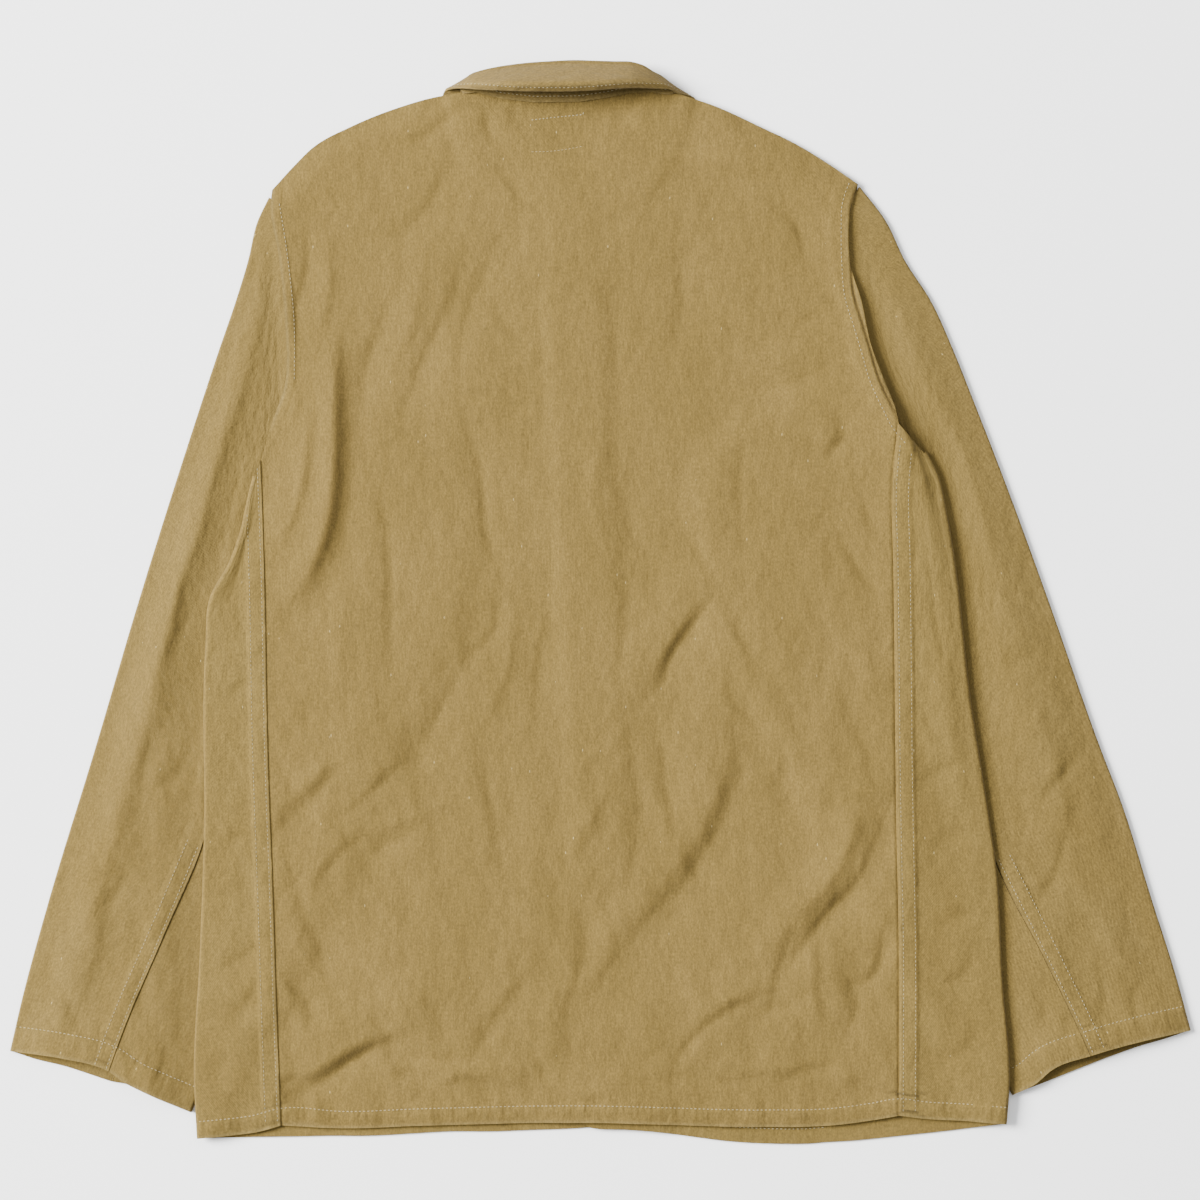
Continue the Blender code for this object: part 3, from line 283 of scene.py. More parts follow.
# Creases of the cloth on the upper side: height, two half widths and the points (x, y). A crease is
# as wide as the mean of the two, and is drawn as far out as five times the greater one.
BACK_CREASES = [
    # the body's edge stands up beside the right armhole and under the arm
    (2.8, 12, 12, [(178, 240), (183, 200), (190, 168), (202, 138), (217, 106), (233, 64), (241, 20),
                   (250, -50), (260, -110)]),
    # the long trough from the left armhole
    (2.6, 8, 8, [(-184, 176), (-185, 150), (-185, 98), (-188, 62), (-195, 36), (-208, 10)]),
    (-0.45, 3, 4, [(-158, 78), (-150, 51), (-147, 0), (-146, -36)]),
    (0.5, 10, 10, [(-181, 2), (-182, -48), (-183, -98)]),
    (0.8, 6, 5, [(-203, 140), (-205, 100), (-214, 60), (-224, 38)]),
    (0.6, 4, 4, [(-214, 150), (-212, 138), (-214, 126)]),
    # crooked line down the middle left
    (-0.45, 3, 4, [(-96, 133), (-88, 105), (-83, 81), (-80, 50), (-76, 29), (-72, 17)]),
    (-0.4, 5, 3, [(-72, 17), (-50, 6), (-29, -6)]),
    (-0.45, 4, 3, [(-72, 12), (-76, -24), (-92, -40), (-98, -49)]),
    (-0.35, 6, 4, [(-98, -49), (-116, -84), (-125, -105)]),
    (0.35, 7, 7, [(-60, -10), (-66, -50), (-84, -90)]),
    (-0.3, 5, 5, [(-34, -8), (-44, -50), (-46, -84)]),
    # the sharp diagonal in the middle right
    (-0.9, 6, 3, [(80, 3), (60, -22), (47, -41), (42, -60), (32, -67)]),
    (0.6, 4, 9, [(70, 0), (50, -28), (36, -56)]),
    (-0.55, 3, 5, [(32, -71), (41, -96), (45, -124), (50, -156), (51, -178)]),
    (-0.4, 5, 5, [(60, 48), (74, 22), (82, 6)]),
    (-0.35, 6, 5, [(100, 120), (97, 70), (100, 28)]),
    (-0.4, 4, 4, [(82, 4), (96, -20), (105, -46)]),
    (-0.4, 4, 4, [(84, -58), (98, -76), (114, -94)]),
    # long soft diagonals down to the middle of the hem
    (-0.9, 12, 16, [(100, -92), (96, -128), (80, -165), (56, -200), (30, -228), (4, -262),
                    (-16, -292)]),
    (0.6, 14, 8, [(88, -100), (80, -140), (64, -172), (40, -206)]),
    (-0.6, 6, 8, [(24, -124), (8, -158), (-10, -184), (-14, -212)]),
    (0.5, 10, 8, [(10, -120), (-8, -156), (-24, -186)]),
    (-0.5, 5, 4, [(-82, -108), (-76, -150), (-68, -186)]),
    (-0.4, 5, 5, [(-14, -212), (-10, -244), (-22, -280), (-24, -306)]),
    (-0.7, 10, 7, [(-46, -258), (-66, -284), (-88, -316), (-98, -330)]),
    # diagonals from the left seam
    (-1.0, 5, 3.5, [(-185, -118), (-200, -136), (-214, -152), (-226, -160)]),
    (0.6, 9, 4, [(-190, -112), (-208, -132), (-224, -146)]),
    (-0.55, 4, 4, [(-136, -112), (-152, -126), (-168, -142), (-178, -150)]),
    (-0.7, 6, 4, [(-150, -160), (-176, -172), (-196, -196), (-200, -206)]),
    (-0.5, 4, 4, [(-132, -164), (-146, -168), (-160, -176)]),
    (0.5, 7, 6, [(-120, -150), (-146, -158), (-168, -172)]),
    (-0.6, 6, 8, [(-216, -190), (-208, -214), (-196, -244), (-190, -268)]),
    (-0.45, 5, 5, [(-220, -264), (-206, -280), (-200, -300)]),
    # the big diagonal and its branches near the right seam
    (-1.5, 9, 5, [(200, -148), (190, -180), (178, -200), (160, -218), (142, -240), (130, -258)]),
    (0.9, 5, 12, [(182, -140), (174, -170), (160, -196), (138, -222)]),
    (-0.7, 5, 5, [(170, -202), (162, -214), (156, -228)]),
    (-0.8, 5, 5, [(198, -230), (192, -260), (180, -268), (172, -262)]),
    (-0.6, 6, 6, [(172, -262), (178, -290), (170, -306)]),
    (0.7, 8, 6, [(150, -236), (148, -270), (154, -300)]),
    (-0.6, 4, 5, [(132, -232), (124, -262), (120, -286)]),
    # the arc above the hem on the right
    (-1.1, 7, 4, [(50, -328), (60, -312), (78, -294), (100, -280), (122, -274), (138, -272)]),
    (-0.7, 4, 4, [(98, -296), (114, -288), (130, -284), (142, -290)]),
    (-0.5, 4, 5, [(120, -274), (134, -280), (148, -272)]),
    # the folds above the hem on the left
    (-1.7, 6, 4, [(-216, -346), (-196, -336), (-176, -322), (-158, -312), (-146, -308)]),
    (1.0, 4, 8, [(-214, -338), (-192, -324), (-168, -310), (-148, -300)]),
    (-0.8, 4, 5, [(-226, -338), (-210, -334), (-196, -334)]),
    (-0.9, 5, 4, [(-152, -310), (-134, -318), (-112, -320), (-90, -320)]),
    (-0.8, 4, 5, [(-150, -336), (-134, -330), (-116, -334), (-100, -342)]),
    (-0.5, 4, 4, [(-162, -290), (-152, -300), (-142, -304)]),
    (0.5, 6, 6, [(-130, -322), (-110, -328), (-86, -332)]),
    # creases along the hem
    (-0.7, 5, 5, [(-20, -312), (4, -316), (30, -318), (52, -314)]),
    (-0.6, 4, 5, [(36, -334), (62, -332), (92, -336), (120, -330)]),
    (-0.5, 4, 4, [(-50, -312), (-40, -328), (-36, -342)]),
    (-0.6, 5, 4, [(-24, -306), (-10, -322), (14, -330)]),
    (-0.5, 5, 5, [(126, -334), (150, -326), (178, -330)]),
    # the right side
    (-0.6, 6, 4, [(166, 50), (180, 22), (196, 2)]),
    (-0.5, 5, 4, [(176, 86), (186, 62), (196, 40)]),
    (-0.6, 4, 5, [(142, 116), (158, 106), (170, 108)]),
    (-0.6, 5, 4, [(160, 132), (168, 118), (160, 100)]),
    (0.5, 6, 6, [(150, 124), (160, 112), (172, 118)]),
    (-0.5, 8, 6, [(168, -52), (176, -84), (188, -108), (184, -130)]),
    (-0.45, 8, 8, [(110, -130), (134, -142), (160, -144), (190, -138)]),
    (-0.4, 6, 6, [(120, -92), (130, -120), (118, -140)]),
    # the upper back, mostly soft and upright
    (-0.7, 10, 8, [(-206, 268), (-204, 236), (-212, 200), (-206, 170)]),
    (0.6, 8, 10, [(-190, 256), (-190, 214), (-198, 180)]),
    (-0.7, 9, 9, [(-146, 210), (-158, 178), (-166, 150), (-168, 128)]),
    (-0.7, 11, 9, [(-94, 252), (-102, 214), (-118, 180), (-132, 146), (-140, 124)]),
    (-0.55, 10, 9, [(-64, 262), (-84, 224), (-96, 186), (-100, 150)]),
    (0.5, 10, 10, [(-122, 246), (-128, 208), (-140, 172)]),
    (-0.4, 6, 6, [(-104, 316), (-112, 290), (-136, 260), (-170, 252)]),
    (-0.5, 6, 6, [(-76, 308), (-62, 292), (-50, 274)]),
    (-0.45, 8, 8, [(-12, 226), (-6, 190), (-8, 150)]),
    (-0.45, 9, 9, [(54, 246), (56, 204), (48, 170)]),
    (-0.45, 5, 5, [(-80, 210), (-64, 190), (-50, 178)]),
    (-0.55, 5, 5, [(12, 344), (22, 328), (34, 318), (60, 306), (96, 296), (130, 292)]),
    (-0.5, 5, 5, [(20, 330), (44, 322), (78, 314)]),
    (0.4, 6, 6, [(50, 318), (86, 306), (124, 302)]),
    (-0.5, 5, 5, [(120, 278), (136, 264), (142, 236)]),
    (-0.5, 4, 4, [(-94, 346), (-110, 334), (-128, 322), (-150, 316)]),
    (-0.5, 4, 4, [(-80, 342), (-78, 326), (-70, 316)]),
    (-0.4, 4, 4, [(-62, 340), (-56, 326)]),
    (-0.35, 4, 4, [(128, 206), (142, 196), (156, 204)]),
    (-0.35, 5, 5, [(84, 196), (112, 184), (140, 180)]),
    (-0.35, 5, 5, [(104, 158), (126, 150), (148, 160)]),
    (0.35, 6, 6, [(94, 172), (118, 166), (146, 170)]),
    (-0.35, 6, 6, [(-30, 110), (-20, 70), (-24, 36)]),
    (-0.35, 6, 6, [(24, 104), (18, 62), (30, 30)]),
    (0.35, 9, 9, [(0, 120), (-4, 72), (4, 30)]),
    (-0.3, 4, 4, [(-20, -6), (4, -22), (26, -16)]),
    (-0.3, 4, 4, [(-14, 16), (8, 22), (24, 12)]),
    (0.9, 5, 5, [(-156, -309), (-142, -300), (-130, -303)]),
    (0.6, 5, 5, [(-158, -336), (-140, -341), (-124, -346)]),
    (0.8, 5, 5, [(-116, -338), (-92, -331), (-70, -334), (-50, -338)]),
    (0.5, 5, 5, [(-98, -322), (-76, -327), (-54, -326)]),
    (0.7, 4, 4, [(-26, -342), (-8, -345), (8, -344)]),
    (-0.5, 4, 4, [(88, -288), (106, -283), (124, -282)]),
    (0.5, 5, 5, [(104, -327), (124, -328), (142, -326)]),
    (0.7, 4, 4, [(160, -330), (172, -334), (182, -334)]),
]
WRAP_CREASES = [
    # the narrow side of each front that shows beside the back
    (-0.7, 6, 8, [(-268, -4), (-258, 20), (-246, 44), (-240, 70)]),
    (0.7, 8, 6, [(-276, -8), (-262, 14), (-250, 40)]),
    (-0.4, 5, 5, [(-262, -66), (-246, -60), (-236, -70)]),
    (-0.5, 4, 4, [(-264, -170), (-250, -164), (-238, -166)]),
    (-0.6, 5, 4, [(-266, -258), (-252, -250), (-240, -242), (-236, -250)]),
    (-0.5, 4, 5, [(-262, -290), (-250, -284), (-242, -270)]),
    (-0.4, 4, 4, [(-276, -330), (-262, -320), (-246, -326)]),
    (-0.6, 5, 5, [(222, -128), (236, -118), (256, -112)]),
    (-0.7, 5, 6, [(232, -176), (244, -164), (262, -160)]),
    (-0.6, 5, 5, [(226, -262), (240, -268), (256, -258), (262, -240)]),
    (-0.5, 5, 5, [(230, -308), (246, -318), (262, -304)]),
    (-0.5, 4, 4, [(226, 84), (232, 72), (240, 64)]),
    (-0.5, 4, 5, [(214, 104), (222, 92), (230, 88)]),
    (0.5, 8, 8, [(240, -40), (248, -90), (254, -140)]),
    (-0.5, 7, 7, [(228, 30), (234, -10), (240, -50)]),
    (-0.5, 4, 4, [(238, -226), (252, -218), (268, -222)]),
]
SLEEVE_CREASES = [
    # left sleeve, from the shoulder to the cuff
    (1.7, 24, 24, [(-243, 250), (-257, 150), (-292, 20), (-326, -110), (-350, -200), (-366, -262)]),
    (-0.7, 12, 10, [(-236, 200), (-246, 150), (-262, 100), (-276, 60)]),
    (-0.45, 7, 7, [(-300, 40), (-290, 6), (-298, -30)]),
    (-0.5, 6, 6, [(-276, 20), (-292, -20), (-312, -60)]),
    (-0.45, 5, 6, [(-304, -80), (-318, -110), (-322, -140)]),
    (-0.6, 6, 4, [(-288, -120), (-282, -146), (-292, -170)]),
    (-0.5, 5, 5, [(-286, -96), (-296, -120), (-318, -136)]),
    (-0.5, 6, 5, [(-378, -270), (-370, -288), (-362, -300)]),
    (-0.5, 6, 6, [(-392, -240), (-384, -262), (-388, -284)]),
    (-0.35, 8, 8, [(-340, -60), (-346, -110), (-356, -160)]),
    (-0.4, 6, 6, [(-330, -180), (-340, -206), (-356, -220)]),
    (0.5, 9, 9, [(-346, -206), (-354, -246), (-366, -282)]),
    (-0.5, 4, 4, [(-300, -286), (-292, -300), (-296, -318)]),
    (-0.5, 4, 4, [(-312, -306), (-304, -320), (-308, -334)]),
    (-0.4, 4, 4, [(-296, -262), (-286, -276), (-284, -292)]),
    # right sleeve
    (1.7, 22, 22, [(204, 240), (220, 196), (246, 140), (280, 60), (312, -30), (342, -120),
                   (362, -200)]),
    (-1.3, 8, 12, [(184, 262), (190, 214), (200, 170), (216, 130), (238, 96), (250, 60)]),
    (-0.5, 4, 6, [(228, 124), (240, 112), (248, 96)]),
    (-0.4, 5, 5, [(272, 14), (290, 0), (310, -14)]),
    (-0.4, 4, 4, [(280, -42), (302, -38), (322, -40)]),
    (-0.7, 5, 4, [(342, -96), (330, -112), (316, -130), (306, -142)]),
    (-0.5, 6, 6, [(332, -140), (324, -170), (316, -196), (300, -214)]),
    (-0.4, 5, 5, [(282, -126), (294, -134), (306, -132)]),
    (0.5, 10, 10, [(300, -60), (316, -110), (330, -170)]),
    (-0.4, 6, 6, [(360, -190), (368, -220), (366, -250)]),
    (-0.4, 5, 5, [(346, -250), (352, -276), (348, -296)]),
    (-0.4, 5, 5, [(300, -268), (310, -286), (306, -304)]),
    (-0.4, 5, 5, [(380, -262), (372, -280), (378, -296)]),
]
UNDERSIDE_CREASES = [
    # the fronts' floor side: shallow, because the cloth is pressed there
    (0.35, 8, 8, [(-150, 180), (-146, 110), (-158, 60)]),
    (0.3, 7, 7, [(-120, 60), (-104, 0), (-112, -60)]),
    (0.35, 8, 6, [(-86, -120), (-66, -180), (-70, -230)]),
    (0.3, 7, 7, [(-168, -150), (-140, -200), (-150, -260)]),
    (0.3, 6, 8, [(70, 150), (90, 90), (84, 30)]),
    (0.35, 8, 8, [(130, 40), (112, -30), (124, -90)]),
    (0.3, 7, 7, [(70, -100), (92, -160), (80, -220)]),
    (0.35, 7, 7, [(150, -210), (126, -260), (134, -300)]),
]


# ---- curves and strips, as in the part
def run_along(points):
    """How far each point is from the first one, along the points."""
    return np.concatenate([[0], np.cumsum(np.linalg.norm(np.diff(points, axis=0), axis=1))])


def run_across(middle):
    """How far each point of a grid is from the first one of its row, along the row."""
    steps = np.linalg.norm(np.diff(middle, axis=1), axis=2)
    return np.concatenate([np.zeros((len(middle), 1)), np.cumsum(steps, axis=1)], axis=1)


def at_run(where, run, points):
    """The points at the given runs along a path."""
    return np.stack([np.interp(where, run, column) for column in points.T], axis=-1)


def smoothed(points, slopes, step, t, length=1.0):
    """The smooth curve with the given slopes, at share t of the way from a point to the next one."""
    return ((1 + 2 * t) * (1 - t) ** 2 * points[step] + t * (1 - t) ** 2 * length * slopes[step]
            + t * t * (3 - 2 * t) * points[step + 1] + t * t * (t - 1) * length * slopes[step + 1])


def resample(points, shares):
    """Points at the given shares of a smooth curve's length, through the given points."""
    points = np.asarray(points, float)
    knots = run_along(points)
    slopes = np.gradient(points, knots, axis=0)
    fine = np.linspace(0, knots[-1], 40 * len(knots))
    step = np.clip(np.searchsorted(knots, fine, side="right") - 1, 0, len(knots) - 2)
    length = knots[step + 1] - knots[step]
    t = ((fine - knots[step]) / length)[:, None]
    curve = smoothed(points, slopes, step, t, length[:, None])
    along = run_along(curve)
    return at_run(np.asarray(shares) * along[-1], along, curve)


def length_of(points):
    return float(np.linalg.norm(np.diff(np.asarray(points, float), axis=0), axis=1).sum())


def even(points, count):
    return resample(points, np.linspace(0, 1, count))


def stations(length, count, close):
    """Shares of a length: at the given distances from its start, then evenly to its end."""
    close = [c for c in close if c < length * 0.8]
    return np.concatenate([close, np.linspace(close[-1], length, count - len(close) + 1)[1:]]) / length


def spread(points, share, reference):
    """Points along a curve, spaced as on a curve of the reference length at its start."""
    full = length_of(points)
    return resample(points, share * (reference * (1 - share) + full * share) / full)


def outwards(curve, away_from):
    """Unit directions square to a plan curve, pointing away from the given points."""
    along = np.gradient(curve, axis=0)
    normal = np.stack([along[:, 1], -along[:, 0]], axis=1)
    normal /= np.linalg.norm(normal, axis=1, keepdims=True)
    facing = np.sign(((curve - away_from) * normal).sum(axis=1, keepdims=True))
    return normal * facing


def strip(start, end, low, high, shares, bend=2.0):
    """Plan points of a strip: rows run from the start curve to the end curve, low and high are the
    curves of its first and last row, whose bow fades into the strip."""
    rows = np.linspace(0, 1, len(start))[:, None, None]
    shares = np.broadcast_to(shares, (len(start), np.shape(shares)[-1]))
    across = shares[:, :, None]
    ruled = start[:, None] * (1 - across) + end[:, None] * across
    bows = []
    for curve, row in ((low, 0), (high, -1)):
        curve = resample(curve, shares[row])
        bows.append(curve - (curve[:1] * (1 - across[row]) + curve[-1:] * across[row]))
    return ruled + (1 - rows) ** bend * bows[0] + rows ** bend * bows[1]


def xy(plan):
    """x and y of a grid's points, for the heights below."""
    return plan[:, :, 0], plan[:, :, 1]


def soft(share):
    """0 below 0 and 1 above 1, with a smooth step between."""
    share = np.clip(share, 0, 1)
    return share * share * (3 - 2 * share)


def fading(gap, reach, width):
    """1 near something, fading over a width to 0 at its reach."""
    return soft((reach - gap) / width)


def nearest(path, x, y):
    """Distance from plan points to a path, which side of it they are on, and how far along it."""
    path = np.asarray(path, float)
    lengths = np.linalg.norm(np.diff(path, axis=0), axis=1)
    best = np.full(np.shape(x), 1e9)
    side, along = np.zeros(np.shape(x)), np.zeros(np.shape(x))
    before = 0.0
    for (x0, y0), (x1, y1), length in zip(path[:-1], path[1:], lengths):
        dx, dy = x1 - x0, y1 - y0
        share = np.clip(((x - x0) * dx + (y - y0) * dy) / length ** 2, 0, 1)
        off_x, off_y = x - x0 - share * dx, y - y0 - share * dy
        away = np.hypot(off_x, off_y)
        closer = away < best
        best = np.where(closer, away, best)
        side = np.where(closer, np.sign(dx * off_y - dy * off_x), side)
        along = np.where(closer, (before + share * length) / lengths.sum(), along)
        before += length
    return best, side, along


def distance(path, x, y):
    return nearest(path, x, y)[0]


def beyond(outline, x, y):
    """How far plan points lie outside a closed outline, 0 inside it."""
    outline = np.asarray(outline, float)
    inside = np.zeros(np.shape(x), bool)
    for (x0, y0), (x1, y1) in zip(outline, np.roll(outline, -1, axis=0)):
        if y0 != y1:
            crosses = (y0 > y) != (y1 > y)
            inside ^= crosses & (x < (x1 - x0) * (y - y0) / (y1 - y0) + x0)
    return np.where(inside, 0.0, distance(np.vstack([outline, outline[:1]]), x, y))


def front_line(ends, y):
    """x, at a given y, of a line that leans from the neck to the hem."""
    return ends[0] + (NECK_Y - y) / (NECK_Y - HEM_Y) * (ends[1] - ends[0])


# ---- heights of the layers: the middle of each wall above the floor, as in the part
def under_body(side):
    """Outline of the sleeve where it lies under the body."""
    far, fold = SIGN[side] * 420, SIDE_FOLD[side][-1]
    return [(far, -330), (SIGN[side] * 330, -356), *SLEEVE_INNER[side], fold, (far, fold[1])]


def sleeve_below(x, y):
    """1 where a sleeve lies below the fronts, fading to 0 round it."""
    gap = np.minimum(beyond(under_body("left"), x, y), beyond(under_body("right"), x, y))
    return fading(gap, 40, 26)


def leaf_or_stand_below(x, y, inner):
    """How far plan points are from the front halves of the collar's leaf (inner 3) or stand (0)."""
    gaps = []
    for sections in (COLLAR[LEFT_FRONT_SECTIONS], COLLAR[RIGHT_FRONT_SECTIONS]):
        edge = [section[inner][:2] for section in sections]
        roll = [section[1][:2] for section in sections]
        gaps.append(beyond(edge + roll[::-1], x, y))
    return np.minimum(*gaps)


def collar_below(x, y):
    """1 where a collar leaf lies below the fronts, fading to 0 round it."""
    return fading(leaf_or_stand_below(x, y, 3), 30, 20)


def stand_below(x, y):
    """1 where the front half of the collar's stand lies below the back, fading to 0 round it."""
    return fading(leaf_or_stand_below(x, y, 0), 26, 20)


def buttons_below(x, y):
    """1 over the row of buttons, fading to 0 round it."""
    across = fading(np.abs(x - front_line(CENTRE_X, y)), 35, 22)
    above = soft((BUTTON_YS[0] + 55 - y) / 30)
    below = soft((y - BUTTON_YS[-1] + 70) / 40)
    return across * above * below


def near_shoulder(x, y):
    """1 at a shoulder seam, falling off over the bevel."""
    gap = np.minimum(distance(SHOULDER["left"], x, y), distance(SHOULDER["right"], x, y))
    return np.clip(1 - gap / SHOULDER_BEVEL, 0, 1) ** 2


def left_front_height(x, y):
    """The left front, on the floor or on what is below it."""
    over_sleeve = 3 * WALL + LAYER_GAP
    over_leaf = COLLAR_WALL + LAYER_GAP
    over_button = BUTTON_THICK + LAYER_GAP
    lift = np.maximum(over_sleeve * sleeve_below(x, y), over_leaf * collar_below(x, y))
    lift = np.maximum(lift, over_button * buttons_below(x, y))
    return WALL / 2 + lift + SHOULDER_RISE * near_shoulder(x, y)


def overlap(x, y):
    """1 where the two fronts overlap, fading to 0 on both sides."""
    right_of = front_line(FRONT_EDGE_X["right"], y) - 6
    left_of = front_line(FRONT_EDGE_X["left"], y) + 6
    return soft((x - right_of + 20) / 20) * soft((left_of + 20 - x) / 20)


def right_front_height(x, y):
    """The right front, which lies on the left one where they overlap."""
    return left_front_height(x, y) + (WALL + 2 * LAYER_GAP) * overlap(x, y)


def big_folds(x, y):
    """Rounded folds and troughs, alike along their whole path."""
    height = np.zeros(np.shape(x))
    for rise, half_width, path in BIG_FOLDS:
        height += rise * np.exp(-(distance(path, x, y) / half_width) ** 2)
    return height


def crease_height(creases, x, y):
    """Troughs and ridges with one steep flank and one gentle one, fading out at both ends.
    The cloth was drawn towards the lower right, so ridges lean that way: steep below, gentle above."""
    height = np.zeros(np.shape(x))
    for rise, left_width, right_width, path in creases:
        path = even(path, 3 * len(path))
        reach = 5 * max(left_width, right_width)
        low, high = path.min(axis=0) - reach, path.max(axis=0) + reach
        near = (x > low[0]) & (x < high[0]) & (y > low[1]) & (y < high[1])
        if not near.any():
            continue
        away, side, along = nearest(path, x[near], y[near])
        run = path[-1] - path[0]
        left_leans = (-run[1] * LEAN[0] + run[0] * LEAN[1]) * rise > 0
        mean = (left_width + right_width) / 2
        width = np.where((side > 0) == left_leans, max(STEEP * mean, LEAST_STEEP), GENTLE * mean)
        peak = np.exp(ROUNDING - np.sqrt((away / width) ** 2 + ROUNDING ** 2))
        depth = CREASING * np.sign(rise) * abs(rise) ** CREASE_POWER
        height[near] += depth * peak * np.sin(np.pi * np.clip(along, 0.03, 0.97)) ** 0.6
    return height


def crinkle(x, y, width, length, lean, seed):
    """Uneven small hills and hollows, longer along a leaning direction than across it."""
    flat_x, flat_y = np.ravel(x), np.ravel(y)
    turn = np.radians(lean)
    across = (flat_x * np.cos(turn) + flat_y * np.sin(turn)) / width
    along = (flat_y * np.cos(turn) - flat_x * np.sin(turn)) / length
    hills = [noise.noise((a, b, seed)) + 0.5 * noise.noise((2.1 * a, 2.1 * b, seed + 7))
             for a, b in zip(across, along)]
    return np.reshape(hills, np.shape(x))


def relief(x, y):
    """The laid cloth's small unevenness: washed cotton, softer at the top than near the hem."""
    low = soft((150 - y) / 320)
    return ((0.45 + 0.3 * low) * crinkle(x, y, 26, 60, 14, 1.0)
            - (0.25 + 0.9 * low) * np.abs(crinkle(x, y, 30, 52, 32, 9.0))
            + (0.12 + 0.2 * low) * crinkle(x, y, 10, 19, 30, 4.0))


def back_base(x, y):
    """The back without its small creases, and the lowest it can lie on what is below it."""
    fronts = right_front_height(x, y)
    base = BODY_HEIGHT + BODY_RISE * sleeve_below(x, y) + 0.6 * collar_below(x, y)
    base += big_folds(x, y)
    at_hem = np.clip((y - HEM_Y) / HEM_OPENING_LENGTH, 0, 1) ** 0.7
    base = (fronts + HEM_OPENING) * (1 - at_hem) + base * at_hem
    at_shoulder = near_shoulder(x, y)
    closed = fronts + WALL + 2 * LAYER_GAP
    base = closed * at_shoulder + base * (1 - at_shoulder)
    return np.maximum(np.maximum(base, closed), OVER_STAND * stand_below(x, y)), closed


def back_height(x, y):
    """The back and the sides of the fronts that show beside it, with their creases."""
    base, closed = back_base(x, y)
    fine = crease_height(BACK_CREASES, x, y) + crease_height(WRAP_CREASES, x, y) + relief(x, y)
    fine *= 1 - 0.8 * near_shoulder(x, y)
    return np.maximum(base + fine, closed)


def sleeve_height(x, y, side):
    """Of a sleeve's upper layer: pressed under the body, standing up a little beside it."""
    body_edge = SIDE_FOLD[side] + ARMHOLE_BACK[side][1:]
    edge_x = np.interp(y, [point[1] for point in body_edge], [point[0] for point in body_edge])
    is_free = x < edge_x if side == "left" else x > edge_x
    clear = np.minimum(distance(SLEEVE_OUTER[side], x, y), distance(body_edge, x, y))
    free = soft(clear / LOFT_WIDTH) * is_free
    at_cuff = soft(1 - distance(CUFF_UPPER[side], x, y) / CUFF_OPENING_LENGTH)
    lift = SLEEVE_LOFT[side] + crease_height(SLEEVE_CREASES, x, y) + relief(x, y)
    lift += CUFF_OPENING * at_cuff
    return WALL / 2 + 2 * SLEEVE_FOLD_RADIUS + np.maximum(lift, LEAST_LOFT) * free


# ---- materials
SHADE, PALE = "#5e4d25", "#7f6f47"                   # the dye's darker patches, and rubbed edges
SLUB, FLECK, SEAM_SHADE = "#88784e", "#524122", "#261d0d"   # pale yarns, dark yarns, and painted shade in the ditches of the seams


def linear(colour):
    """Linear RGBA of an sRGB hex colour."""
    parts = [int(colour[i:i + 2], 16) / 255 for i in (1, 3, 5)]
    return (*(c / 12.92 if c <= 0.04045 else ((c + 0.055) / 1.055) ** 2.4 for c in parts), 1.0)


def material(name):
    made = bpy.data.materials.new(name)
    made.use_nodes = True
    return made, made.node_tree, made.node_tree.nodes["Principled BSDF"]


def add(tree, kind, settings=None, values=None, links=None):
    """A node with its settings, its sockets' own values, and what is linked into its sockets."""
    made = tree.nodes.new("ShaderNode" + kind)
    for name, value in (settings or {}).items():
        setattr(made, name, value)
    for socket, value in (values or {}).items():
        made.inputs[socket].default_value = value
    for socket, source in (links or {}).items():
        tree.links.new(source, made.inputs[socket])
    return made


def ramp(tree, source, stops):
    """Greys or colours at given places of a value."""
    made = add(tree, "ValToRGB", links={"Fac": source})
    elements = made.color_ramp.elements
    while len(elements) < len(stops):
        elements.new(1)
    for element, (place, value) in zip(elements, stops):
        element.position = place
        element.color = value if isinstance(value, tuple) else (value, value, value, 1)
    return made.outputs["Color"]


def maths(tree, operation, first, second, clamp=False):
    """What comes of a socket's value and a second one, which may be a number."""
    made = add(tree, "Math", {"operation": operation, "use_clamp": clamp}, links={0: first})
    if isinstance(second, float):
        made.inputs[1].default_value = second
    else:
        tree.links.new(second, made.inputs[1])
    return made.outputs["Value"]


def bumped(tree, height, strength, distance, below=None):
    """The directions of a surface with this relief, on top of the relief below."""
    links = {"Height": height} if below is None else {"Height": height, "Normal": below}
    made = add(tree, "Bump", values={"Strength": strength, "Distance": distance}, links=links)
    return made.outputs["Normal"]


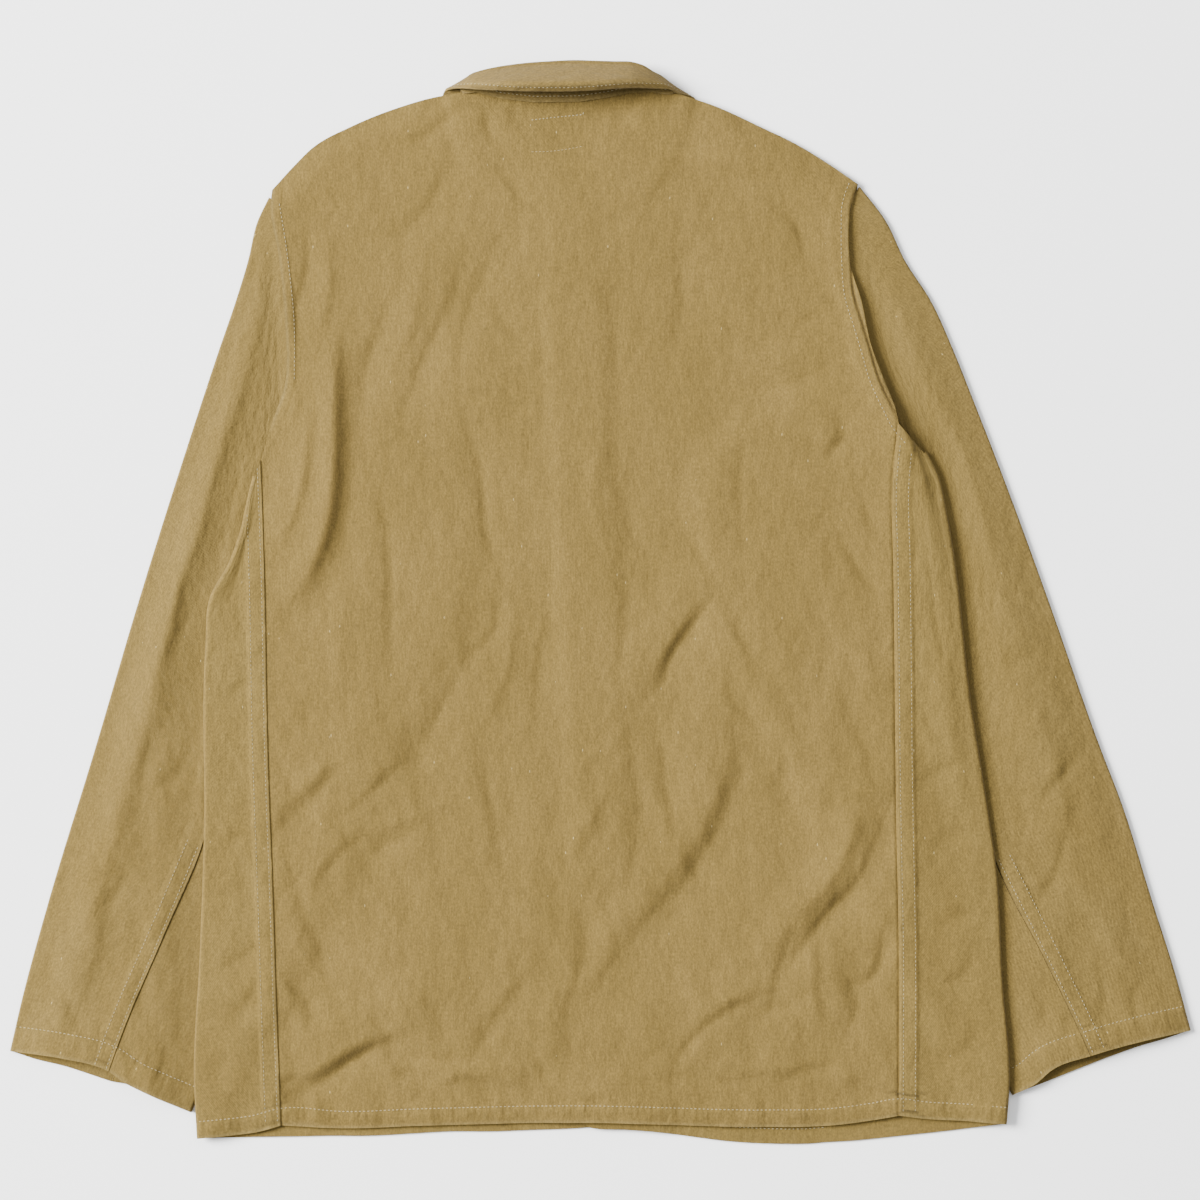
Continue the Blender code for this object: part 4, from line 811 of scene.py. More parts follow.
def khaki_twill(name, base):
    """Washed cotton herringbone: matt, with fine ribs 0.9 mm apart, which are drawn leaning one way,
    and with cream slubs and dark flecks along the warp."""
    made, tree, shader = material(name)
    grain = add(tree, "UVMap", {"uv_map": "grain"}).outputs["UV"]   # metres, u across and v along

    def texture(kind, scale, stretch=(1, 1, 1), turn=0.0, settings=None, **values):
        place = add(tree, "Mapping", values={"Scale": stretch, "Rotation": (0, 0, turn)},
                    links={"Vector": grain}).outputs["Vector"]
        return add(tree, kind, settings, {"Scale": scale, **values}, {"Vector": place})

    def clouds(scale, stretch, detail, roughness):
        return texture("TexNoise", scale, stretch, Detail=detail, Roughness=roughness).outputs["Fac"]

    def bands(scale, direction, turn, distortion):
        settings = {"wave_type": "BANDS", "bands_direction": direction}
        values = {"Distortion": distortion, "Detail": 1.0, "Detail Scale": 0.6}
        return texture("TexWave", scale, turn=turn, settings=settings, **values).outputs["Fac"]

    def mark(name):
        return add(tree, "Attribute", {"attribute_name": name}).outputs["Fac"]

    def mix(kind, share, first, second):
        blend = add(tree, "Mix", {"data_type": "RGBA", "blend_type": kind})
        for name, value in (("Factor", share), ("A", first), ("B", second)):
            socket = next(s for s in blend.inputs if s.name == name and s.enabled)
            if isinstance(value, (float, tuple)):
                socket.default_value = value
            else:
                tree.links.new(value, socket)
        return next(s for s in blend.outputs if s.enabled)

    # colour: soft patches of dye, warp streaks, grit, ribs and weft
    patches = clouds(14.0, (1.3, 0.7, 1), 3.0, 0.55)
    streaks = clouds(700.0, (1, 0.2, 1), 2.0, 0.6)
    grit = clouds(900.0, (1, 0.6, 1), 1.0, 0.6)
    ribs = bands(340.0, "X", 0.5, 1.2)
    weft = bands(300.0, "Y", 0.0, 2.0)
    colour = mix("MIX", ramp(tree, patches, [(0.3, 0.0), (0.7, 1.0)]), linear(SHADE), linear(base))
    for source, stops in ((streaks, [(0.34, 0.88), (0.66, 1.10)]), (grit, [(0.3, 0.80), (0.7, 1.19)]),
                          (ribs, [(0.0, 0.955), (1.0, 1.04)]), (weft, [(0.0, 0.975), (1.0, 1.02)])):
        colour = mix("MULTIPLY", 1.0, colour, ramp(tree, source, stops))

    # slubs and flecks: the middles of a few cells, picked by the cells' own random colours
    cells = texture("TexVoronoi", 165.0, (1, 0.38, 1), settings={"feature": "F1"}, Randomness=1.0)
    chance = add(tree, "SeparateXYZ", links={"Vector": cells.outputs["Color"]}).outputs
    small = maths(tree, "LESS_THAN", cells.outputs["Distance"], 0.06)
    slub = maths(tree, "MULTIPLY", small, maths(tree, "GREATER_THAN", chance["X"], 0.78))
    fleck = maths(tree, "MULTIPLY", small, maths(tree, "LESS_THAN", chance["Y"], 0.035))
    colour = mix("MIX", slub, colour, linear(SLUB))
    colour = mix("MIX", maths(tree, "MULTIPLY", fleck, 0.45), colour, linear(FLECK))

    # wear, and painted shade: paler rubbed edges, and painted shade in the seams' ditches, where the
    # mark is below 0
    wear_and_seam_shade = mark("wear_and_seam_shade")
    colour = mix("MIX", maths(tree, "MULTIPLY", wear_and_seam_shade, grit, clamp=True), colour, linear(PALE))
    colour = mix("MIX", maths(tree, "MULTIPLY", wear_and_seam_shade, -0.8, clamp=True), colour, linear(SEAM_SHADE))
    tree.links.new(colour, shader.inputs["Base Color"])

    # surface: small crinkles, puckers where rows of stitches draw the cloth in, ribs and threads
    pucker = mark("pucker")
    slow = maths(tree, "MULTIPLY", pucker, 0.008)
    along = add(tree, "CombineXYZ", links={"X": mark("run"), "Y": slow}).outputs["Vector"]
    gathers = add(tree, "TexNoise", values={"Scale": 150.0, "Detail": 1.5, "Roughness": 0.5},
                  links={"Vector": along}).outputs["Fac"]
    surface = bumped(tree, clouds(95.0, (1.2, 0.8, 1), 2.5, 0.5), 0.9, 0.0012)
    surface = bumped(tree, maths(tree, "MULTIPLY", gathers, pucker), 1.0, 0.0014, surface)
    surface = bumped(tree, maths(tree, "ADD", ribs, streaks), 0.35, 0.0003, surface)
    tree.links.new(surface, shader.inputs["Normal"])
    tree.links.new(ramp(tree, streaks, [(0.3, 0.86), (0.7, 0.97)]), shader.inputs["Roughness"])
    shader.inputs["Specular IOR Level"].default_value = 0.115
    shader.inputs["Sheen Weight"].default_value = 0.046
    shader.inputs["Sheen Roughness"].default_value = 0.5
    return made


def sewing_thread(name, colour, end_colour):
    """Spun cotton thread: matt, unevenly dyed, with its two plies twisted round each other."""
    made, tree, shader = material(name)
    place = add(tree, "TexCoord").outputs["Object"]
    plies = add(tree, "TexWave", {"wave_type": "BANDS", "bands_direction": "DIAGONAL"},
                {"Scale": 900.0, "Distortion": 1.0}, {"Vector": place}).outputs["Fac"]
    tint = add(tree, "TexNoise", values={"Scale": 60.0, "Detail": 2.0},
               links={"Vector": place}).outputs["Fac"]
    dyed = ramp(tree, tint, [(0.3, linear(colour)), (0.75, linear(end_colour))])
    tree.links.new(dyed, shader.inputs["Base Color"])
    tree.links.new(bumped(tree, plies, 0.4, 0.0002), shader.inputs["Normal"])
    shader.inputs["Roughness"].default_value = 0.85
    shader.inputs["Sheen Weight"].default_value = 0.2
    return made


def brown_resin(name):
    """Cast resin button: satin, marbled through its thickness, with fine scuffs."""
    made, tree, shader = material(name)
    place = add(tree, "TexCoord").outputs["Object"]
    swirl = add(tree, "TexNoise", values={"Scale": 160.0, "Detail": 5.0, "Distortion": 1.6},
                links={"Vector": place}).outputs["Fac"]
    scuffs = add(tree, "TexNoise", values={"Scale": 900.0, "Detail": 3.0},
                 links={"Vector": place}).outputs["Fac"]
    marbled = [(0.3, linear("#25180d")), (0.55, linear("#412a15")), (0.72, linear("#5e4124"))]
    tree.links.new(ramp(tree, swirl, marbled), shader.inputs["Base Color"])
    tree.links.new(ramp(tree, scuffs, [(0.3, 0.28), (0.7, 0.46)]), shader.inputs["Roughness"])
    tree.links.new(bumped(tree, scuffs, 0.15, 0.0002), shader.inputs["Normal"])
    shader.inputs["IOR"].default_value = 1.54
    return made


# ---- cloth
# The tables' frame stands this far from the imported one, which is centred on its own box.
button_low, button_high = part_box("button_1")
SHIFT = ((button_low + button_high) / 2 * 1000
         - Vector((front_line(CENTRE_X, BUTTON_YS[0]), BUTTON_YS[0], BUTTON_THICK / 2)))
SHIFT.z = 0


def raised(plan, height):
    return np.dstack([plan, height])


def straight_up(plan, way=1.0):
    """Wall directions of a layer that lies flat, its right side up or down."""
    out = np.zeros((*plan.shape[:2], 3))
    out[:, :, 2] = way
    return out


def placed(name, data):
    """A new object in the scene."""
    made = bpy.data.objects.new(name, data)
    bpy.context.scene.collection.objects.link(made)
    return made


def into_mesh(name, bm, finish):
    """The mesh of a bmesh, which is freed."""
    mesh = bpy.data.meshes.new(name)
    bm.to_mesh(mesh)
    bm.free()
    mesh.materials.append(finish)
    return mesh


def cotton(mesh):
    """The smooth object of a mesh of cloth or thread, under the mesh's own name."""
    mesh.shade_smooth()
    piece = placed(mesh.name, mesh)
    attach(piece, "root")
    return piece


def wall(name, finish, middle, outward, thickness, grain, marks, keep=None, base=WALL):
    """A closed wall round a grid of middle points, each moved half the thickness both ways.
    thickness differs from point to point, and what it has over the base all goes outwards."""
    rows, columns = middle.shape[:2]
    bm = bmesh.new()
    bmesh.ops.create_grid(bm, x_segments=columns - 1, y_segments=rows - 1, size=1)
    place = bm.verts.layers.int.new("place")
    for vert in bm.verts:
        column = round((vert.co.x + 1) / 2 * (columns - 1))
        row = round((vert.co.y + 1) / 2 * (rows - 1))
        vert[place] = row * columns + column
    if keep is not None:
        wanted = keep.reshape(-1)
        unwanted = [face for face in bm.faces if not all(wanted[vert[place]] for vert in face.verts)]
        bmesh.ops.delete(bm, geom=unwanted, context="FACES")
    lining_verts = bm.verts[:]
    made = bmesh.ops.extrude_face_region(bm, geom=bm.faces[:], use_keep_orig=True)
    skin_verts = [item for item in made["geom"] if isinstance(item, bmesh.types.BMVert)]
    lining = (middle - outward * base / 2).reshape(-1, 3)
    skin = (middle + outward * (thickness - base / 2)[:, :, None]).reshape(-1, 3)
    for verts, points in ((lining_verts, lining), (skin_verts, skin)):
        points = ((points + SHIFT[:]) / 1000).tolist()
        for vert in verts:
            vert.co = points[vert[place]]
    bmesh.ops.recalc_face_normals(bm, faces=bm.faces[:])
    mesh = into_mesh(name, bm, finish)

    # the cloth's own directions and the marks of its sewing, for the finish
    spots = np.empty(len(mesh.vertices), np.int32)
    mesh.attributes["place"].data.foreach_get("value", spots)
    mesh.attributes.remove(mesh.attributes["place"])
    corners = np.empty(len(mesh.loops), np.int32)
    mesh.loops.foreach_get("vertex_index", corners)
    uv = mesh.uv_layers.new(name="grain")
    uv.data.foreach_set("uv", (grain.reshape(-1, 2)[spots[corners]] / 1000).astype(np.float32).ravel())
    for mark, values in marks.items():
        layer = mesh.attributes.new(mark, "FLOAT", "POINT")
        layer.data.foreach_set("value", np.asarray(values, np.float32).reshape(-1)[spots])
    piece = cotton(mesh)
    mesh.set_sharp_from_angle(angle=np.radians(60))
    return piece


def turned_edge(edge, outward, upper, lower, steps=6):
    """Wall middles and directions round a fold, between an upper and a lower layer."""
    radius = (upper - lower) / 2
    angles = np.radians(np.linspace(90, -90, steps + 2)[1:-1])
    centre = edge - outward * (WALL / 2 + radius)[:, None]
    points, ways = [], []
    for angle in angles:
        plan = centre + outward * (radius * np.cos(angle))[:, None]
        height = (upper + lower) / 2 + radius * np.sin(angle)
        points.append(np.column_stack([plan, height]))
        ways.append(np.column_stack([outward * np.cos(angle), np.full(len(edge), np.sin(angle))]))
    return np.stack(points, axis=1), np.stack(ways, axis=1)


def band(away, width):
    """1 on a band that starts at a seam or edge, falling off just past its stitch row."""
    return soft((width + 1.0 - away) / 1.6)


def hill(away, middle, width):
    """1 at a distance from a seam, falling off on both sides of it."""
    return np.exp(-((away - middle) / width) ** 2)


def groove(away, row):
    """The narrow dip that a row of stitches pulls into the cloth."""
    return hill(away, row, 1.1)


class Sewn:
    """What the sewing does to a layer: extra plies and dips (rise, in millimetres), rubbing and
    painted shade in its ditches, puckers, and how far along its seam a pucker is (run, in metres)."""

    def __init__(self, like):
        self.rise, self.wear_and_seam_shade, self.pucker, self.run = (np.zeros(np.shape(like)) for _ in range(4))

    def draw_in(self, pull, run):
        """Puckers, where a seam's pull is the strongest so far."""
        self.run = np.where(pull > self.pucker, run / 1000, self.run)
        self.pucker = np.maximum(self.pucker, pull)

    def turn_up(self, away, run, row):
        """A hem: two more plies up to the stitch row."""
        self.rise = np.maximum(self.rise, HEM_RISE * band(away, row)) - 0.25 * groove(away, row)
        self.wear_and_seam_shade = np.maximum(self.wear_and_seam_shade, 0.5 * groove(away, 0.4))
        self.draw_in(hill(away, row * 0.75, row * 0.6), run)

    def fell(self, away, side, run):
        """A felled seam on one side of a line: four plies between two rows of stitches."""
        across = away * side
        plies = soft((across + 0.3) / 0.7) * soft((FELL_WIDTH + 0.9 - across) / 1.4)
        ditch = 0.75 * hill(across, -0.6, 0.9) * (across < 0.2)
        self.rise = np.maximum(self.rise, FELL_RISE * plies) - ditch
        for row in FELL_ROWS:
            self.rise = self.rise - 0.16 * groove(across, row)
        # rubbed pale along the upper ply's edge, and painted shade in the ditch beside it
        self.wear_and_seam_shade = np.maximum(self.wear_and_seam_shade, 0.3 * hill(across, 1.3, 0.8)) - 1.1 * hill(across, -0.3, 0.75)
        self.draw_in(hill(across, FELL_WIDTH / 2, FELL_WIDTH) * 0.55, run)

    def take(self, shown, fade):
        """The sewing of the layer's first rows and columns, with its rise fading at the last ones."""
        rows, columns = shown.rise.shape
        for name in ("rise", "wear_and_seam_shade", "pucker", "run"):
            getattr(self, name)[:rows, :columns] = getattr(shown, name)
        self.rise[:rows, columns - len(fade):columns] *= fade

    def thickness(self):
        return WALL + np.maximum(self.rise, -DEEPEST)

    def marks(self):
        return {"wear_and_seam_shade": np.clip(self.wear_and_seam_shade, -1, 1), "pucker": self.pucker, "run": self.run}


def body_sewing(x, y):
    """Sewing that shows on the body's upper side: the hem, the side fells and the armholes."""
    sewn = Sewn(x)
    away, _, along = nearest(even(HEM_SHOWN, 60), x, y)
    sewn.turn_up(away, along * length_of(HEM_SHOWN), HEM_ROW)
    for side in ("left", "right"):
        seam = even(BACK_SEAM[side], 30)
        away, facing, along = nearest(seam, x, y)
        sewn.fell(away, facing * -SIGN[side], along * length_of(seam))
        # the armhole, fading in above the side seam (upper)
        away = distance(even(ARMHOLE_BACK[side], 30), x, y)
        if side == "left":
            # more plies up to the stitch row
            upper = soft((y - 110) / 30)
            here = soft((7.5 - away) / 1.6) * upper
            sewn.rise = sewn.rise + 0.45 * here
            sewn.wear_and_seam_shade = np.maximum(sewn.wear_and_seam_shade, 0.5 * groove(away, 1.0) * upper)
        else:
            # more plies on the strip that is folded back, a dip along its seam, and painted shade in
            # that dip
            upper = soft((y - 118) / 20)
            sewn.wear_and_seam_shade = np.maximum(sewn.wear_and_seam_shade, 0.4 * groove(away, 1.0) * upper)
            from_strip, facing, _ = nearest(even(FOLDED_STRIP, 30), x, y)
            outside = soft(0.5 - facing * from_strip) * upper * (away < 14)
            sewn.rise = sewn.rise + 0.5 * outside - 0.7 * groove(from_strip, 0) * upper
            sewn.wear_and_seam_shade = (np.maximum(sewn.wear_and_seam_shade, 0.3 * groove(from_strip, 1.8) * upper)
                        - 0.9 * groove(from_strip, 0) * upper)
    return sewn


def back(finish):
    seam_rows, armhole_rows = BACK_ROWS
    sides = {}
    for side in ("left", "right"):
        shares = stations(length_of(BACK_SEAM[side]), seam_rows, HEM_STATIONS)
        sides[side] = np.vstack([resample(BACK_SEAM[side], shares),
                                 even(ARMHOLE_BACK[side], armhole_rows)[1:]])
    top = np.vstack([even(SHOULDER["left"], 58), even(NECK_BACK, 66)[1:],
                     even(SHOULDER["right"][::-1], 54)[1:]])
    widths = np.linalg.norm(sides["right"] - sides["left"], axis=1)
    half = stations(1.0, BACK_HALF_COLUMNS, np.array(EDGE_STATIONS) / (widths.mean() / 2))
    shares = np.concatenate([half, 2 - half[-2::-1]]) / 2
    plan = strip(sides["left"], sides["right"], HEM_BACK, top, shares)
    sewn = body_sewing(*xy(plan))
    cloth = wall("back_cloth", finish, raised(plan, back_height(*xy(plan))), straight_up(plan),
                 WALL + sewn.rise, plan, sewn.marks())
    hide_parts("back")
    return cloth


def front(side, finish):
    """A front: the part that wraps round the side fold to the back's seam, and the part below."""
    lower_height = left_front_height if side == "left" else right_front_height
    low_rows, high_rows = FRONT_ROWS
    foot, chest_y = HEM_FRONT[side][-1], CHEST_COLUMN[side][-1][1]
    front_edge = [foot, *((front_line(FRONT_EDGE_X[side], y), y) for y in (-200, 0, chest_y))]
    along = stations(length_of(BACK_SEAM[side]), low_rows, HEM_STATIONS)
    seam, fold, chest, opening = (
        resample(line, along)
        for line in (BACK_SEAM[side], SIDE_FOLD[side], CHEST_COLUMN[side], front_edge))
    seam = seam + [SIGN[side] * SEAM_GAP, 0]
    out = outwards(fold, chest)
    near = fold - out * 2
    radius = (back_height(*near.T) - lower_height(*near.T)) / 2   # then a mean over 13 rows
    radius = np.convolve(np.pad(radius, 6, mode="edge"), np.full(13, 1 / 13), mode="valid")
    inset = fold - out * (WALL / 2 + radius)[:, None]

    # The plan of the wrap, of what is under it, and of the front's lower and upper part. The wrap's
    # columns lie closer beside the fell, and more so where it is narrower than 22.
    widths = np.linalg.norm(inset - seam, axis=1)
    close = np.minimum(1, widths / 22)[:, None] * np.array(FELL_STATIONS) / widths[:, None]
    rest = np.linspace(close[:, -1], 1, WRAP_COLUMNS - len(FELL_STATIONS) + 1, axis=1)[:, 1:]
    wrap_shares = np.concatenate([close, rest], axis=1)
    wrap = strip(seam, inset, HEM_WRAP[side], [seam[-1], inset[-1]], wrap_shares)
    under = strip(inset, chest, even(HEM_SIDE[side], UNDER_COLUMNS),
                  even(ARMHOLE_BASE[side], UNDER_COLUMNS), np.linspace(0, 1, UNDER_COLUMNS))
    top = np.vstack([even(SHOULDER[side], FRONT_COLUMNS // 2),
                     even(NECK_FRONT[side], FRONT_COLUMNS // 2)[1:]])
    shares = run_along(top)
    shares /= shares[-1]
    across = resample([chest[-1], opening[-1]], shares)
    low = strip(chest, opening, resample(HEM_FRONT[side], shares), across, shares)
    high = strip(even(ARMHOLE_FRONT[side], high_rows),
                 even([opening[-1], NECK_FRONT[side][-1]], high_rows), across, top, shares, bend=1.4)
    front_plan = np.concatenate([low, high[1:]])

    # heights: the wrap settles on what the fold's arc ends on
    level = lower_height(*inset.T) + 2 * radius
    settle = soft((wrap_shares - 0.6) / 0.4)
    wrap_mid = raised(wrap, back_height(*xy(wrap)) * (1 - settle) + level[:, None] * settle)
    under_mid = raised(under, lower_height(*xy(under)))
    arc_mid, arc_out = turned_edge(fold, out, wrap_mid[:, -1, 2], under_mid[:, 0, 2])
    pressed = crease_height(UNDERSIDE_CREASES, *xy(front_plan)) * (1 - overlap(*xy(front_plan)))
    front_mid = raised(front_plan, lower_height(*xy(front_plan)) + np.maximum(pressed, 0))

    # one grid, blank beside the upper part
    side_mid = np.concatenate([wrap_mid, arc_mid, under_mid[:, :-1]], axis=1)
    side_out = np.concatenate([straight_up(wrap), arc_out, straight_up(under[:, :-1], -1)], axis=1)
    blank = np.zeros((high_rows - 1, side_mid.shape[1], 3))
    middle = np.concatenate([np.concatenate([side_mid, blank]), front_mid], axis=1)
    outward = np.concatenate([np.concatenate([side_out, blank]), straight_up(front_plan, -1)], axis=1)
    keep = np.ones(middle.shape[:2], bool)
    keep[low_rows:, :side_mid.shape[1]] = False

    # grain: laid out flat, the wrap and the front are one piece of cloth, turned at the side fold
    girth = run_along(middle[low_rows // 2])
    grain = np.dstack([np.broadcast_to(girth * -SIGN[side], middle.shape[:2]), middle[:, :, 1]])
    sewn = Sewn(middle[:, :, 0])
    sewn.take(body_sewing(*xy(wrap)), (0.9, 0.7, 0.4, 0.15))
    cloth = wall(f"front_{side}_cloth", finish, middle, outward, sewn.thickness(), grain, sewn.marks(),
                 keep)
    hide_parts("front_" + side)
    return cloth


def sleeve_sewing(side, x, y, fell_here):
    """The cuff's turn-up, and the back seam's fell, which lies on the top sleeve."""
    sewn = Sewn(x)
    cuff = even(CUFF_UPPER[side], 40)
    away, _, along = nearest(cuff, x, y)
    sewn.turn_up(away, along * length_of(cuff), CUFF_ROW)
    if fell_here:
        seam = even(SLEEVE_BACK_SEAM[side], 30)
        away, facing, along = nearest(seam, x, y)
        sewn.fell(away, facing * -SIGN[side], along * length_of(seam))
    return sewn


def sleeve(side, finish):
    """The top sleeve and the under sleeve of a flat tube, each round one of its two folds."""
    reference = length_of(SLEEVE_OUTER[side])
    share = stations(reference, SLEEVE_ROWS, CUFF_STATIONS)
    outer, inner, back_seam, front_seam = (
        spread(line[side], share, reference)
        for line in (SLEEVE_OUTER, SLEEVE_INNER, SLEEVE_BACK_SEAM, SLEEVE_FRONT_SEAM))
    run = run_along(outer)
    back_gap = outwards(back_seam, inner) * SEAM_GAP
    front_gap = outwards(front_seam, inner) * SEAM_GAP / 2
    cuff, low_cuff = even(CUFF_UPPER[side], 61), even(CUFF_LOWER[side], 61)
    split = int(np.argmin(np.linalg.norm(cuff - back_seam[0], axis=1)))
    low_split = int(np.argmin(np.linalg.norm(low_cuff - front_seam[0], axis=1)))
    low_count = SLEEVE_LOW_COLUMNS

    # the head: tucked a little under the back's edge, where the two are sewn together, and less so
    # at both ends of the armhole
    rising = stations(1.0, SLEEVE_COLUMNS, np.array(FELL_STATIONS) / 105)
    edge = resample(ARMHOLE_BACK[side], rising)
    tuck = HEAD_TUCK * soft(rising / 0.2) * soft((1 - rising) / 0.08)
    head = edge - outwards(edge, np.zeros(2)) * tuck[:, None]
    pressed = WALL / 2 + 2 * SLEEVE_FOLD_RADIUS
    head_height = back_base(*edge.T)[0] - WALL - HEAD_GAP
    head_height = pressed + (head_height - pressed) * soft(rising / 0.25)
    front_head = [point for point in ARMHOLE_FRONT[side][::-1] if point[1] > front_seam[-1][1]]
    front_head = even([*front_head, tuple(front_seam[-1])], low_count)

    def lower_layer(inset, seam, foot, head_line):
        return strip(inset, seam, even(foot, low_count), head_line, np.linspace(0, 1, low_count))

    def piece(part, way, fold, out, upper, height, lower):
        """The wall of one piece: its upper layer, its fold, and its lower layer on the floor."""
        floor = np.full(lower.shape[:2], WALL / 2)
        arc_mid, arc_out = turned_edge(fold, out, height[:, -1], floor[:, 0])
        middle = np.concatenate([raised(upper, height), arc_mid, raised(lower, floor)], axis=1)
        outward = np.concatenate([straight_up(upper), arc_out, straight_up(lower, -1)], axis=1)
        girth = run_across(middle)
        grain = np.dstack([way * girth, np.broadcast_to(run[:, None], girth.shape)])
        sewn = Sewn(girth)
        sewn.take(sleeve_sewing(side, *xy(upper), part == "top"), (0.8, 0.5, 0.2))
        cloth = wall(f"sleeve_{side}_{part}_cloth", finish, middle, outward, sewn.thickness(), grain,
                     sewn.marks())
        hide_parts(f"sleeve_{side}_{part}")
        return cloth

    # top sleeve: from the back seam over the outer fold to the front seam
    out = outwards(outer, back_seam)
    inset = outer - out * (WALL / 2 + SLEEVE_FOLD_RADIUS)
    upper = strip(back_seam + back_gap, inset, cuff[split:], head, rising)
    height = sleeve_height(*xy(upper), side)
    from_head = np.linalg.norm(upper - upper[-1:], axis=2)
    height += (head_height[None] - height) * np.clip(1 - from_head / HEAD_LENGTH, 0, 1) ** 1.3
    lower = lower_layer(inset, front_seam + front_gap, low_cuff[low_split:][::-1], front_head)
    lower[-1, 1:-1] += outwards(lower[-1, 1:-1], np.zeros(2))   # 1 mm, under the front's edge
    top = piece("top", SIGN[side], outer, out, upper, height, lower)

    # under sleeve: from the back seam over the inner fold to the front seam
    out = outwards(inner, outer)
    inset = inner - out * (WALL / 2 + SLEEVE_FOLD_RADIUS)
    upper = strip(back_seam - back_gap, inset, cuff[:split + 1][::-1], ARMHOLE_BASE[side], rising)
    lower = lower_layer(inset, front_seam - front_gap, low_cuff[:low_split + 1],
                        even([tuple(inset[-1]), tuple(front_seam[-1])], low_count))
    under = piece("under", -SIGN[side], inner, out, upper, sleeve_height(*xy(upper), side), lower)
    return top, under


def collar_sections(count):
    """The table's sections, with smooth ones between them."""
    flat = np.array([[*neck, *roll, *crest, *edge, turn]
                     for neck, roll, crest, edge, turn in COLLAR], float)
    spots = np.linspace(0, len(flat) - 1, count)
    step = np.clip(spots.astype(int), 0, len(flat) - 2)
    return smoothed(flat, np.gradient(flat, axis=0) * 0.9, step, (spots - step)[:, None])


def laid_on_back(necks, rolls):
    """The neck points that are above the back, lapped over its edge and laid on it."""
    down = (necks - rolls) / np.linalg.norm(necks - rolls, axis=1, keepdims=True)
    edge_y = np.interp(necks[:, 0], *np.transpose(NECK_BACK))
    laid = necks + down * NECK_LAP
    laid[:, 1] = np.minimum(laid[:, 1], edge_y - NECK_LAP)
    laid[:, 2] = back_height(laid[:, 0], laid[:, 1]) + (WALL + COLLAR_WALL) / 2 - NECK_SINK
    return necks + (laid - necks) * soft((necks[:, 2:] - 5) / 1.5)


def between(start, end, shares):
    return [start + (end - start) * share for share in shares]


def collar_grid():
    """The middle of the collar's wall: its stand, the arc of its roll, its leaf down to the edge."""
    sections = collar_sections(COLLAR_ROWS)
    necks = laid_on_back(sections[:, :3], sections[:, 3:6])
    rows = []
    for section, neck in zip(sections, necks):
        roll, crest, leaf_edge = section[3:12].reshape(3, 3)
        turn = np.radians(section[12])
        fold = (roll - neck) * [1, 1, 0]
        fold = fold / np.linalg.norm(fold)
        inwards = np.array([fold[1], -fold[0], 0])
        to_stand = np.array([0, 0, -np.cos(turn)]) + inwards * np.sin(turn)
        points = between(neck, roll + ROLL_RADIUS * to_stand, np.linspace(0, 1, 9))
        for angle in np.radians(range(20, 180, 20)):
            points.append(roll + ROLL_RADIUS * (to_stand * np.cos(angle) + fold * np.sin(angle)))
        leaf_start = roll - ROLL_RADIUS * to_stand
        points += between(leaf_start, crest, np.linspace(0, CREST_START, 9))
        # the crest is rounded over by a curve, then the leaf's edge hangs down from it
        start = leaf_start + (crest - leaf_start) * CREST_START
        end = crest + (leaf_edge - crest) * CREST_END
        points += [(1 - s) ** 2 * start + 2 * s * (1 - s) * crest + s * s * end
                   for s in np.linspace(0, 1, 7)[1:-1]]
        points += between(crest, leaf_edge, (CREST_END, 0.55, 0.75, 0.9, 1))
        rows.append(points)
    return np.array(rows, float)


def collar(finish):
    middle = collar_grid()
    outward = np.cross(np.gradient(middle, axis=1), np.gradient(middle, axis=0))
    outward /= np.linalg.norm(outward, axis=2, keepdims=True)
    girth = run_across(middle)
    run = np.broadcast_to(run_along(middle[:, ROLL_COLUMN])[:, None], girth.shape)
    sewn = Sewn(girth)
    from_edge = girth[:, -1:] - girth
    sewn.rise = -0.22 * groove(from_edge, LEAF_ROW) - 0.2 * groove(girth, NECK_DIP)
    sewn.wear_and_seam_shade = 0.6 * groove(from_edge, 0.3) + 0.35 * groove(from_edge, 5.0) + 0.5 * groove(girth, 0.4)
    sewn.pucker = 0.5 * hill(from_edge, 3, 4) + 0.4 * hill(girth, 3, 4)
    sewn.run = run / 1000
    thickness = COLLAR_WALL + sewn.rise
    thickness[:, -1] = COLLAR_WALL * 0.7   # the leaf's edge is pressed
    cloth = wall("collar_cloth", finish, middle, outward, thickness, np.dstack([girth, run]),
                 sewn.marks(), base=COLLAR_WALL)
    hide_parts("collar")
    return cloth, middle, outward


# ---- sewing
def stitch_row(whole, points, ups, first=0.0, pitch=STITCH, shows=STITCH_SHOWS, across=THREAD):
    """Stitches along a line of surface points, each a small bead of thread sunk into the cloth."""
    points, ups = np.asarray(points, float), np.asarray(ups, float)
    bm = bmesh.new()
    run = run_along(points)
    for middle in np.arange(first + pitch / 2, run[-1] - pitch / 4, pitch):
        start, end = (at_run(middle + way * shows / 2, run, points) for way in (-1, 1))
        up = Vector(at_run(middle, run, ups)).normalized()
        along = Vector(end - start).normalized()
        side = up.cross(along).normalized()
        up = along.cross(side)
        turn = Matrix((along, side, up)).transposed().to_4x4()
        centre = Vector((start + end) / 2) + up * BEAD_LIFT + SHIFT
        size = Matrix.Diagonal((shows / 2000, across / 2000, across / 2300, 1))
        bmesh.ops.create_uvsphere(bm, u_segments=6, v_segments=4, radius=1,
                                  matrix=Matrix.Translation(centre / 1000) @ turn @ size)
    # each row is made on its own, because the operator slows down as a mesh grows
    row = bpy.data.meshes.new("row")
    bm.to_mesh(row)
    bm.free()
    whole.from_mesh(row)
    bpy.data.meshes.remove(row)


